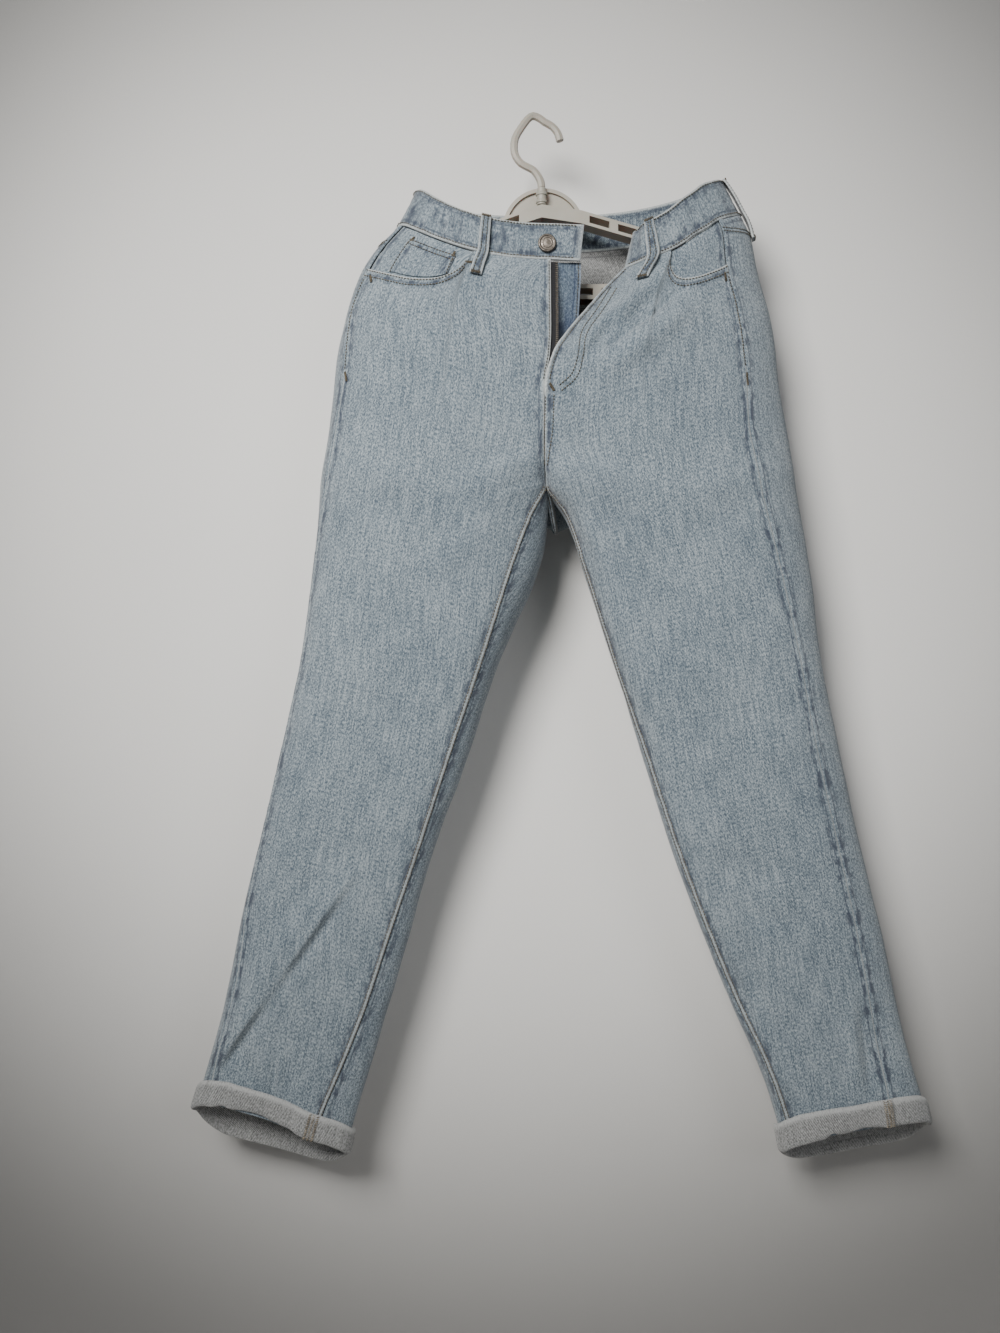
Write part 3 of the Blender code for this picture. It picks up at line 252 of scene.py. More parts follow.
class Half:
    """One half of the jeans: its front and back surfaces, by row u and share t from the outseam."""

    DENSE = 241
    PER_ROW = 20

    def __init__(self, name, rows):
        self.name = name
        self.sign = -1.0 if name == "right" else 1.0
        self.table = column_arrays(rows, COLUMNS)
        self.seat = column_arrays(SEAT_SEAM, SEAT_COLUMNS)
        self.fields = {}

    def angle(self, x, centre, half_width):
        """Section angle of a place on the front face: 0 at the outer fold, a right angle in the middle."""
        share = self.sign * (x - centre) / half_width
        share = min(max(share, -0.995), 0.995)
        return math.acos(math.copysign(abs(share) ** (SQUARENESS / 2), share))

    def section(self, centre, half_width, depth, angles):
        c, s = np.cos(angles), np.sin(angles)
        x = centre + self.sign * half_width * np.sign(c) * np.abs(c) ** (2 / SQUARENESS)
        y = -depth * np.sign(s) * np.abs(s) ** (2 / SQUARENESS)
        return x, y

    def pelvis_profile(self, v, u, back):
        half_width = self.sign * (v["x_out"] - CENTRE_X)
        start = self.angle(v["x_seam"], CENTRE_X, half_width)
        rolled = not back and self.name == "left" and u < len(ROLL_X) - 1
        if back:
            end = -math.pi / 2
            x_end, z_end = smooth_at(self.seat["x"], u), smooth_at(self.seat["z"], u)
        else:
            x_end, z_end = v["xf"], v["zf"]
            x_stop = smooth_at(np.array(ROLL_X, float), u) if rolled else x_end
            end = self.angle(x_stop, CENTRE_X, half_width)
        x, y = self.section(CENTRE_X, half_width, v["depth"], np.linspace(start, end, self.DENSE))
        bow = 1.0 + 1.2 * max(0.0, 1 - u / 6)
        share = np.clip((x - x_end) / (v["x_seam"] - x_end), 0, 1)
        z = z_end + (v["z_out"] - z_end) * share**bow
        if self.name == "left":
            inward = 1 - (v["x_seam"] - x) / DIP_REACH
            outward = (v["x_out"] - x) / (v["x_out"] - v["x_seam"])
            near = np.clip(np.minimum(inward, outward), 0, 1) * (y < 0)
            z = z - CORNER_DIP * max(0.0, 1 - u / 1.3) * smooth_step(near)
        points = np.stack([x, y, z], axis=1)
        if rolled:
            edge = np.array([v["xf"], v["yf"], v["zf"]])
            run = np.linspace(0, 1, self.DENSE // 2)[1:, None]
            points = np.concatenate([points, points[-1] + (edge - points[-1]) * run])
            points = resample(points, self.DENSE)
            for _ in range(260):
                points[1:-1] = (points[:-2] + 2 * points[1:-1] + points[2:]) / 4
        return resample(points, self.DENSE)

    def leg_profile(self, v, back):
        centre = (v["x_out"] + v["x_in"]) / 2
        half_width = abs(v["x_out"] - v["x_in"]) / 2
        start = self.angle(v["x_seam"], centre, half_width)
        stop = self.angle(v["xf"], centre, half_width)
        end = stop - 2 * math.pi if back else stop
        x, y = self.section(centre, half_width, v["depth"], np.linspace(start, end, self.DENSE))
        z = v["z_out"] + (v["z_in"] - v["z_out"]) * (v["x_out"] - x) / (v["x_out"] - v["x_in"])
        z = z - v["drop"] * smooth_step(y / v["depth"])
        return resample(np.stack([x, y, z], axis=1), self.DENSE)

    def profile(self, u, back):
        """Dense line across one surface at row u, from the outseam to its inner edge."""
        v = {name: smooth_at(column, u) for name, column in self.table.items()}
        leg = smooth_step((u - 4) / 5) if u < CROTCH_ROW else 1.0
        points = leg * self.leg_profile(v, back) if leg > 0 else 0.0
        if leg < 1:
            points = points + (1 - leg) * self.pelvis_profile(v, u, back)
        if back and u < CROTCH_ROW:
            end = np.array([smooth_at(self.seat[axis], u) for axis in SEAT_COLUMNS])
        else:
            end = np.array([v["xf"], v["yf"], v["zf"]])
        t = np.linspace(0, 1, self.DENSE)
        free = 0.72 if back else 0.72 - 0.27 * float(smooth_step((u - 6) / 1.5))
        pull = smooth_step((t - free) / (1 - free)) ** 1.4
        points = resample(points + pull[:, None] * (end - points[-1]), self.DENSE)
        points[:, 2] += FRONT_RISE * v["drop"] * smooth_step(-points[:, 1] / v["depth"])
        return points

    def at(self, u, t, back):
        """Surface points at rows u and shares t, which are arrays of one shape."""
        if back not in self.fields:
            rows = np.linspace(0, HEM_ROW, int(HEM_ROW * self.PER_ROW) + 1)
            self.fields[back] = np.array([self.profile(row, back) for row in rows])
        field = self.fields[back]
        fu = np.clip(u, 0, HEM_ROW) * self.PER_ROW
        ft = np.clip(t, 0, 1) * (self.DENSE - 1)
        iu = np.minimum(fu.astype(int), field.shape[0] - 2)
        it = np.minimum(ft.astype(int), self.DENSE - 2)
        fu, ft = (fu - iu)[..., None], (ft - it)[..., None]
        points = (field[iu, it] * (1 - fu) + field[iu + 1, it] * fu) * (1 - ft)
        points = points + (field[iu, it + 1] * (1 - fu) + field[iu + 1, it + 1] * fu) * ft
        out = sum(fold_height(points, *crease[1:]) for crease in CREASES if crease[0] == self.name)
        points[..., 1] -= out * smooth_step(-points[..., 1] / 12)
        return points

    def normal(self, u, t, back):
        """Outward directions at rows u and shares t."""
        step_u, step_t = 0.04, 0.012
        du = self.at(np.minimum(u + step_u, HEM_ROW), t, back) - self.at(np.maximum(u - step_u, 0), t, back)
        dt = self.at(u, np.minimum(t + step_t, 1), back) - self.at(u, np.maximum(t - step_t, 0), back)
        return unit(np.cross(du, dt) * self.sign * (1 if back else -1))



def smooth_curve(points, per_span):
    """Points on a smooth curve through the given ones, of any dimension."""
    p = np.array(points, float)
    p = np.vstack([2 * p[0] - p[1], p, 2 * p[-1] - p[-2]])
    f = (np.arange(per_span) / per_span)[:, None]
    out = []
    for i in range(1, len(p) - 2):
        a, b, c, d = p[i - 1], p[i], p[i + 1], p[i + 2]
        out.append(0.5 * (2 * b + (c - a) * f + (2 * a - 5 * b + 4 * c - d) * f**2
                          + (3 * b - a - 3 * c + d) * f**3))
    return np.vstack(out + [p[-2:-1]])


OPENING_CURVE = smooth_curve(OPENING, 8)


def opening_row(t):
    """Row of the front pocket opening's edge above which the front is cut away."""
    return np.interp(t, OPENING_CURVE[:, 0], OPENING_CURVE[:, 1], right=0.0)


def noise_field(x, y, size, seed):
    """Smooth noise from -1 to 1 over two arrays of one shape, with features of about the given size."""
    flat = [noise.noise(Vector((a / size, b / size, seed))) for a, b in zip(x.ravel(), y.ravel())]
    return np.array(flat).reshape(x.shape)


def run_lengths(grid, axis):
    """Distance along the grid's lines on one axis, from their first point."""
    steps = np.linalg.norm(np.diff(grid, axis=axis), axis=2)
    zero = np.zeros_like(steps[:1] if axis == 0 else steps[:, :1])
    return np.concatenate([zero, np.cumsum(steps, axis=axis)], axis=axis)


def sample(grid, i, j):
    """Values of a grid at fractional rows i and columns j."""
    i, j = np.clip(i, 0, grid.shape[0] - 1.001), np.clip(j, 0, grid.shape[1] - 1.001)
    a, b = i.astype(int), j.astype(int)
    f, g = i - a, j - b
    if grid.ndim == 3:
        f, g = f[:, None], g[:, None]
    near = grid[a, b] * (1 - g) + grid[a, b + 1] * g
    far = grid[a + 1, b] * (1 - g) + grid[a + 1, b + 1] * g
    return near * (1 - f) + far * f


def grid_quads(rows, cols, closed=False):
    i = np.arange(rows - 1)[:, None]
    j = np.arange(cols if closed else cols - 1)[None, :]
    n = (j + 1) % cols
    return np.stack([i * cols + j, i * cols + n, (i + 1) * cols + n, (i + 1) * cols + j], axis=-1).reshape(-1, 4)


def add_mesh(name, verts, quads, looks, slots=None, fields=None, replaces=None, sharp=55):
    """A closed mesh with its outside outwards, which rides on the part."""
    a, b, c, d = (verts[quads[:, k]] for k in range(4))
    volume = np.sum(np.cross(a, b) * c) + np.sum(np.cross(a, c) * d)
    if volume < 0:
        quads = quads[:, ::-1]
    mesh = bpy.data.meshes.new(name)
    mesh.from_pydata((verts * MM).tolist(), [], quads.tolist())
    for look in looks:
        mesh.materials.append(LOOKS[look])
    if slots is not None:
        mesh.polygons.foreach_set("material_index", slots.astype(np.int32))
    for key, values in (fields or {}).items():
        layer = mesh.attributes.new(key, "FLOAT_VECTOR", "POINT")
        layer.data.foreach_set("vector", values.astype(np.float32).ravel())
    mesh.shade_smooth()
    mesh.set_sharp_from_angle(angle=math.radians(sharp))
    mesh.update()
    thing = bpy.data.objects.new(name, mesh)
    bpy.context.scene.collection.objects.link(thing)
    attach(thing, "root")
    if replaces:
        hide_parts(replaces)
    return thing


def add_wall(name, outer, inner, across, along, wash, looks, replaces=None, closed=False):
    """A wall between two grids, with the cloth's own coordinates and a field of seam distance, wear and painted shade
    as point fields.
    """
    rows, cols = outer.shape[:2]
    size = rows * cols
    face = grid_quads(rows, cols, closed)
    j = np.arange(cols if closed else cols - 1)
    n, low = (j + 1) % cols, (rows - 1) * cols
    ends = [np.stack([j, size + j, size + n, n], axis=1),
            np.stack([low + j, low + n, size + low + n, size + low + j], axis=1)]
    if not closed:
        a = np.arange(rows - 1) * cols
        ends.append(np.stack([a, a + cols, size + a + cols, size + a], axis=1))
        a = a + cols - 1
        ends.append(np.stack([a, size + a, size + a + cols, a + cols], axis=1))
    quads = np.concatenate([face, face[:, ::-1] + size] + ends)
    slots = np.zeros(len(quads))
    slots[len(face):2 * len(face)] = len(looks) - 1
    cloth = np.stack([across, along, np.zeros_like(across)], axis=-1).reshape(-1, 3)
    verts = np.concatenate([outer.reshape(-1, 3), inner.reshape(-1, 3)])
    fields = {"cloth": np.concatenate([cloth, cloth]), "wash": np.concatenate([wash.reshape(-1, 3)] * 2)}
    return add_mesh(name, verts, quads, looks, slots, fields, replaces)


def grid_area(grid):
    a = np.cross(grid[1:, 1:] - grid[:-1, :-1], grid[1:, :-1] - grid[:-1, 1:])
    return float(np.sum(np.linalg.norm(a, axis=2)) / 2)


SHEETS = []


def cut_size(thing, grid):
    """Adds the flat cut of a piece to SHEETS, as its widest row, its longest column and its area."""
    width = float(run_lengths(grid, 1)[:, -1].max()) * MM
    length = float(run_lengths(grid, 0)[-1].max()) * MM
    area = min(grid_area(grid) * MM * MM, width * length)
    area = max(area, 0.31 * width * length)
    SHEETS.append((thing.name, round(width, 3), round(length, 3), round(area, 4)))


PIECES = {}

# Columns are close together at the seams, where the felled ridges are
EDGE_SHARES = np.array([0, 0.005, 0.01, 0.015, 0.02, 0.026, 0.034])
FRONT_T = np.unique(np.concatenate([
    EDGE_SHARES, np.linspace(0.034, 0.38, 18), np.linspace(0.38, 0.54, 22), np.linspace(0.54, 0.966, 26),
    1 - EDGE_SHARES]))
BACK_T = np.unique(np.concatenate([EDGE_SHARES, np.linspace(0.034, 0.966, 52), 1 - EDGE_SHARES]))
TOP_STEPS = 66
LEG_U = np.concatenate([np.linspace(6, 9, 19)[1:], np.linspace(9, 10, 14)[1:], np.linspace(10, 18.93, 160)[1:]])

RIDGE_WIDTH = 5.0
STITCH_NEAR, STITCH_FAR = 1.3, 4.7


def seam_relief(distance, along, seed, height=0.6):
    """Felled seam: a groove on the seam, a ridge beside it, and puckers that fade away from it."""
    ripple = noise_field(along, distance * 0.6, 7.0, seed)
    groove = -0.7 * np.exp(-((distance / 0.8) ** 2))
    ridge = height * smooth_step((RIDGE_WIDTH + 0.5 * ripple - distance) / 1.3)
    beyond = -0.5 * height * np.exp(-(((distance - RIDGE_WIDTH - 0.8) / 1.1) ** 2))
    return groove + ridge + beyond + 0.75 * ripple * np.exp(-distance / 7.0)


def sewn_wear(distance):
    """Whitening of the raised band beside a seam."""
    return 0.6 * np.exp(-(((distance - 2.8) / 1.3) ** 2))


def build_panel(name, half, back, u, t, looks=("denim", "reverse"), out=0.0, seams=(True, True), top="plain",
                thick=DENIM, edge_wear=0.0, ridge=0.6):
    """One cut panel as a wall, with relief at its sewn edges, small folds, and a field of seam distance and wear; the
    denim look paints shade along the seams from that distance.
    """
    base, normals = half.at(u, t, back), half.normal(u, t, back)
    across = run_lengths(base, 1)
    total = across[:, -1:]
    down = run_lengths(base, 0)
    along = down[-1:] - down
    seed = 3.0 + 7 * back + (11 if half.name == "left" else 0)
    fold = sum(fold_height(base, *f[2:]) for f in FOLDS if f[0] == half.name and f[1] == back)
    fold = fold + 0.7 * noise_field(base[..., 0], base[..., 2], 38.0, seed)
    fold = fold * smooth_step(np.minimum(across, total - across) / 18)
    relief = np.zeros_like(across)
    wear = np.zeros_like(across)
    seam = np.full_like(across, 60.0)
    for near, far in ((across, seams[0]), (total - across, seams[1])):
        if far:
            felled = smooth_step(u - CROTCH_ROW + 0.5) * (not back) if near is not across else 0.0
            relief += seam_relief(near, along, seed + 2, ridge * (0.25 + 0.75 * felled))
            plain = 0.8 * np.exp(-(((near - 0.8) / 0.6) ** 2)) * (not back)
            wear = np.maximum(wear, felled * sewn_wear(near) + (1 - felled) * plain)
            seam = np.minimum(seam, near + 1.5 * (1 - felled) * back)
    if top == "sewn":
        relief += seam_relief(down, across, seed + 4, 0.4)
        seam = np.minimum(seam, down)
    if top == "opening":
        hem = np.where(t < OPENING[-1][0], down, 60.0)
        relief += 0.9 * smooth_step((9.0 - hem) / 1.5) + 0.35 * noise_field(across, hem, 8.0, seed) * np.exp(-hem / 7)
        relief -= 0.5 * np.exp(-((hem / 0.8) ** 2))
        wear = np.maximum(wear, np.exp(-((hem / 1.5) ** 2)))
        seam = np.minimum(seam, hem)
    if edge_wear:
        free = np.where(u < 5.2, total - across, 60.0)
        wear = np.maximum(wear, edge_wear * np.exp(-((free / 2.2) ** 2)))
        relief += 0.8 * smooth_step((3.4 - free) / 1.2) - 0.5 * np.exp(-(((free - 4.4) / 0.9) ** 2))
    wash = np.stack([seam, wear, np.zeros_like(seam)], axis=-1)
    outer = base + normals * (out + fold + relief)[..., None]
    inner = base + normals * (out + fold - thick)[..., None]
    thing = add_wall(f"cloth_{name}", outer, inner, across, along, wash, looks, name)
    cut_size(thing, base)
    PIECES[name] = {"outer": outer, "normals": normals, "across": across, "total": total, "down": down, "u": u, "t": t}
    return thing


def build_front(half):
    top = opening_row(FRONT_T)
    steps = np.linspace(0, 1, TOP_STEPS)[:, None]
    upper = top + (POCKET_JOIN_ROW - top) * steps
    u = np.vstack([upper, np.repeat(LEG_U[:, None], len(FRONT_T), axis=1)])
    t = np.repeat(FRONT_T[None, :], len(u), axis=0)
    build_panel(f"front_{half.name}", half, False, u, t, top="opening", edge_wear=0.95, ridge=0.9)


def build_back(half):
    rows = np.concatenate([np.linspace(1, 6, 62), LEG_U])
    u, t = np.meshgrid(rows, BACK_T, indexing="ij")
    build_panel(f"back_{half.name}", half, True, u, t)


def build_yoke(half):
    u, t = np.meshgrid(np.linspace(0, 0.985, 16), BACK_T, indexing="ij")
    build_panel(f"yoke_{half.name}", half, True, u, t, top="sewn")


def build_facing(half):
    under, past = 0.3, 0.05
    shares = np.concatenate([np.linspace(0, 0.38, 18), np.linspace(0.38, OPENING[-1][0] + past, 22)[1:]])
    foot = np.where(shares < 0.5, opening_row(shares) + under, 1.25)
    u = foot * np.linspace(0, 1, 24)[:, None]
    t = np.repeat(shares[None, :], len(u), axis=0)
    build_panel(f"pocket_facing_{half.name}", half, False, u, t, out=-POCKET_DEPTH, seams=(True, False))


def build_coin_pocket(half):
    left_share, right_share, top_row, clear = 0.13, 0.44, 0.42, 0.1
    share = np.linspace(0, 1, 34)
    t = left_share + (right_share - left_share) * share
    top = top_row + 0.08 * share
    foot = opening_row(t) - clear
    u = top + (foot - top) * np.linspace(0, 1, 26)[:, None]
    build_panel("coin_pocket", half, False, u, np.repeat(t[None, :], 26, axis=0), out=-POCKET_DEPTH + 1.7,
                thick=1.4, top="sewn", ridge=0.25)


def locate(half, back, x, z):
    """Rows and shares of the surface points that have the given x and z arrays."""
    us, ts = np.meshgrid(np.arange(0, HEM_ROW + 0.01, 0.1), np.linspace(0, 1, 81), indexing="ij")
    field = half.at(us, ts, back)
    u, t = np.zeros_like(x), np.zeros_like(x)
    for place in np.ndindex(x.shape):
        far = (field[..., 0] - x[place]) ** 2 + (field[..., 2] - z[place]) ** 2
        best = np.unravel_index(np.argmin(far), far.shape)
        u[place], t[place] = us[best], ts[best]
    for _ in range(8):
        p = half.at(u, t, back)
        du = (half.at(u + 0.02, t, back) - half.at(u - 0.02, t, back)) / 0.04
        dt = (half.at(u, t + 0.01, back) - half.at(u, t - 0.01, back)) / 0.02
        det = du[..., 0] * dt[..., 2] - du[..., 2] * dt[..., 0]
        dx, dz = x - p[..., 0], z - p[..., 2]
        u = u + np.clip((dx * dt[..., 2] - dz * dt[..., 0]) / det, -0.2, 0.2)
        t = t + np.clip((du[..., 0] * dz - du[..., 2] * dx) / det, -0.05, 0.05)
    return np.clip(u, 0, HEM_ROW), np.clip(t, 0, 1)


POCKET_WIDTH, POCKET_SIDE, POCKET_POINT, POCKET_NARROWS = 138.0, 128.0, 150.0, 12.0
POCKET_TOP = {"right": (-92.0, -196.0, 8.0), "left": (120.0, -190.0, -8.0)}


def build_back_pocket(half):
    x_mid, z_top, tilt = POCKET_TOP[half.name]
    across = np.linspace(-1, 1, 41)[None, :]
    down = np.linspace(0, 1, 37)[:, None]
    foot = POCKET_SIDE + (POCKET_POINT - POCKET_SIDE) * (1 - np.abs(across))
    x = x_mid + across * (POCKET_WIDTH - POCKET_NARROWS * down) / 2
    z = z_top + tilt * across / 2 - foot * down
    u, t = locate(half, True, x, z)
    build_panel(f"back_pocket_{half.name}", half, True, u, t, out=0.6 + 1.2, thick=1.2, top="sewn", ridge=0.3)


def build_waistband(right, left):
    """The band as one closed section along its path, with rounded edges and stitched ridges."""
    shares = FRONT_T[::-1]
    foot = [np.array([[SHIELD_END_X, -44.0, -157.0]]) + np.linspace(0, 1, 6)[:-1, None] * (
        np.array([30.0, -43.6, -156.4]) - np.array([SHIELD_END_X, -44.0, -157.0]))]
    start = right.at(np.zeros(1), np.ones(1), False)
    foot.append(np.array([30.0, -43.6, -156.4]) + np.linspace(0, 1, 7)[:-1, None] * (
        start - np.array([30.0, -43.6, -156.4])))
    foot.append(right.at(np.zeros(len(shares)), shares, False))
    foot.append(right.at(np.zeros(len(BACK_T) - 1), BACK_T[1:], True))
    foot.append(left.at(np.zeros(len(BACK_T) - 1), BACK_T[:-1][::-1], True))
    foot.append(left.at(np.zeros(len(FRONT_T) - 1), FRONT_T[1:], False))
    line = np.vstack(foot)
    count = int(np.linalg.norm(np.diff(line, axis=0), axis=1).sum() / 3.2)
    line = resample(line, count)
    line[2:-2] = (line[:-4] + line[1:-3] + line[2:-2] + line[3:-1] + line[4:]) / 5
    lean_x = np.where(line[:, 1] < 0, np.interp(line[:, 0], *LEAN_FRONT), np.interp(line[:, 0], *LEAN_BACK))
    lean_x = np.convolve(np.pad(lean_x, 6, mode="edge"), np.ones(13) / 13, mode="valid")
    lean_y = -BAND_LEAN_FRONT * np.clip(line[:, 1] / 42, -1, 1)
    rise = np.stack([lean_x, lean_y, np.full(count, BAND_HEIGHT)], axis=1)
    normal = unit(np.cross(np.gradient(line, axis=0), rise))
    if normal[count // 8, 1] > 0:
        normal = -normal
    where = np.concatenate([[0], np.cumsum(np.linalg.norm(np.diff(line, axis=0), axis=1))])
    end = np.minimum(where, where[-1] - where)
    heights = np.concatenate([[0.004, 0.02, 0.045, 0.07, 0.1, 0.13, 0.155], np.linspace(0.19, 0.81, 14),
                              [0.845, 0.87, 0.9, 0.93, 0.955, 0.98, 0.996]])
    edge = np.minimum(heights, 1 - heights)[:, None] * BAND_HEIGHT
    grid_where = np.repeat(where[None, :], len(heights), axis=0)
    grid_high = np.repeat((heights * BAND_HEIGHT)[:, None], count, axis=1)
    ripple = noise_field(grid_where, grid_high * 0.35, 9.0, 21.0) + 0.6 * noise_field(grid_where, grid_high, 4.5, 5.0)
    distance = np.minimum(edge, end[None, :] * 0.8)
    relief = -0.9 * np.exp(-((distance / 0.9) ** 2)) + 0.35 * smooth_step((3.6 - distance) / 1.0)
    relief = relief - 0.6 * np.exp(-(((distance - 4.2) / 0.8) ** 2)) + 0.95 * ripple * smooth_step(distance / 2.0)
    wear = np.exp(-(((distance - 1.0) / 1.3) ** 2)) * 0.85
    # Painted shade: darker in the valleys of the puckers, and in a line beside the stitching 3.3 mm in from each edge
    dark = 0.9 * smooth_step((-ripple + 0.05) / 0.4) * smooth_step((distance - 2.0) / 3.0)
    dark = np.maximum(dark, 0.95 * np.exp(-(((distance - 3.3) / 0.8) ** 2)))
    base = line[None, :, :] + heights[:, None, None] * rise[None, :, :]
    outer = base + normal[None] * (BAND_PROUD + relief)[..., None]
    inner_relief = -0.5 * np.exp(-((distance / 0.9) ** 2)) + 0.15 * ripple
    inner = base + normal[None] * (BAND_PROUD - BAND_THICK - inner_relief)[..., None]
    wash = np.stack([distance, wear, dark], axis=-1)
    thing = add_wall("cloth_waistband", outer, inner, grid_where, grid_high, wash, ("denim", "denim"),
                     "waistband")
    cut_size(thing, base)
    PIECES["waistband"] = {"outer": outer, "normals": np.repeat(normal[None], len(heights), axis=0),
                           "across": grid_where, "down": grid_high, "line": line, "rise": rise, "normal": normal,
                           "where": where, "heights": heights}


def build_belt_loops(right, left):
    band = PIECES["waistband"]
    line, where = band["line"], band["where"]
    section = smooth_curve(LOOP_SECTION, 7)
    for name, x, back in LOOP_PLACES:
        face = (line[:, 1] > 0) == back
        middle = where[np.argmin(np.where(face, np.abs(line[:, 0] - x), np.inf))]
        widths = np.linspace(-0.5, 0.5, 13)
        grid = np.zeros((len(section), len(widths), 3))
        normals = np.zeros_like(grid)
        half = right if x < CENTRE_X else left
        for j, width in enumerate(widths):
            place = middle + width * LOOP_WIDTH
            foot = np.array([np.interp(place, where, line[:, k]) for k in range(3)])
            rise = np.array([np.interp(place, where, band["rise"][:, k]) for k in range(3)])
            out = unit(np.array([np.interp(place, where, band["normal"][:, k]) for k in range(3)]))
            grid[:, j] = foot + section[:, :1] * rise
            normals[:, j] = out
        low = section[:, 0] < 0
        places = middle + widths * LOOP_WIDTH
        feet = np.stack([np.interp(places, where, line[:, k]) for k in range(3)], axis=1)
        on_back, shares = share_at_waist(half, feet)
        for i in np.nonzero(low)[0]:
            rows = row_below_waist(half, on_back, shares, -section[i, 0] * BAND_HEIGHT)
            grid[i] = half.at(rows, shares, on_back)
            normals[i] = half.normal(rows, shares, on_back)
        normals = unit(smoothed(normals, 5))
        edge = (0.5 - np.abs(widths)) * LOOP_WIDTH
        ridge = -0.5 * np.exp(-((edge / 0.7) ** 2)) + 0.35 * np.exp(-(((edge - 1.4) / 0.8) ** 2))
        ridge -= 0.35 * np.exp(-(((edge - 3.0) / 0.7) ** 2))
        stand = BAND_PROUD + LOOP_LIE_ON + LOOP_THICK + section[:, 1:] * LOOP_STAND_OFF
        outer = grid + normals * (stand + ridge[None, :])[..., None]
        inner = grid + normals * (stand - LOOP_THICK)[..., None]
        outer, inner = smoothed(outer, 3), smoothed(inner, 3)
        across, down = run_lengths(grid, 1), run_lengths(grid, 0)
        wear = np.exp(-((edge / 1.2) ** 2)) * np.ones_like(down)
        # Painted shade in the stitched groove 3 mm in from each edge of the loop
        dark = 0.8 * np.exp(-(((edge - 3.0) / 0.9) ** 2)) * np.ones_like(down)
        wash = np.stack([np.repeat(edge[None, :], len(down), axis=0), wear, dark], axis=-1)
        thing = add_wall(f"cloth_{name}", outer, inner, across, down, wash, ("denim", "reverse"), name)
        cut_size(thing, grid)
        PIECES[name] = {"outer": outer, "normals": normals, "across": across, "total": across[:, -1:], "down": down}


def smoothed(grid, times):
    """The grid evened along its columns, with both ends kept."""
    out = grid.copy()
    for _ in range(times):
        out[1:-1] = (out[:-2] + 2 * out[1:-1] + out[2:]) / 4
    return out


def share_at_waist(half, points):
    """Whether these points of the waist line are over the back, and their shares there."""
    t = np.linspace(0, 1, 800)
    far = [np.linalg.norm(half.at(np.zeros(800), t, back)[None] - points[:, None], axis=2) for back in (False, True)]
    back = bool(far[1].min(axis=1).max() < far[0].min(axis=1).max())
    shares = t[np.argmin(far[back], axis=1)]
    return back, np.linspace(shares[0], shares[-1], len(shares))


def row_below_waist(half, back, shares, distance):
    """Rows that lie the given distance below the waist line at these shares."""
    u = np.linspace(0, 3, 90)
    rows = []
    for t in shares:
        points = half.at(u, np.full(90, t), back)
        rows.append(np.interp(distance, np.linalg.norm(points - points[0], axis=1), u))
    return np.array(rows)


CUFF_TALL = 26.0
# Cuff section from its hidden inner top over the outside to the turn at the foot and up inside: share, out
CUFF_SECTION = (
    (0.10, 0.7), (0.00, 1.0), (-0.035, 2.2), (-0.03, 3.4), (0.03, 4.5), (0.12, 4.9), (0.3, 5.0), (0.5, 5.1),
    (0.7, 5.1), (0.86, 4.9), (0.95, 4.2), (1.0, 3.0), (1.015, 1.4), (1.01, -0.4), (0.97, -1.7), (0.85, -2.2),
    (0.6, -2.0), (0.55, -1.2), (0.6, 0.2),
)
# Dents along the cuffs: side, on the back, share across, width in shares, depth and lift of the lower edge
CUFF_DENTS = (
    ("right", False, 0.17, 0.05, 1.9, 2.2),
    ("right", False, 0.45, 0.22, 0.4, 5.5),
    ("right", False, 0.76, 0.06, 1.8, 1.5),
    ("right", False, 0.86, 0.04, -0.8, 0.0),
    ("right", True, 0.3, 0.08, 1.2, -0.8),
    ("right", True, 0.7, 0.08, 1.4, -0.8),
    ("left", False, 0.60, 0.05, 2.2, 3.6),
    ("left", False, 0.50, 0.05, -1.0, 0.6),
    ("left", False, 0.30, 0.17, 0.4, 4.5),
    ("left", False, 0.86, 0.05, 1.5, -2.0),
    ("left", True, 0.35, 0.08, 1.3, -0.8),
    ("left", True, 0.7, 0.07, 1.3, -0.8),
)


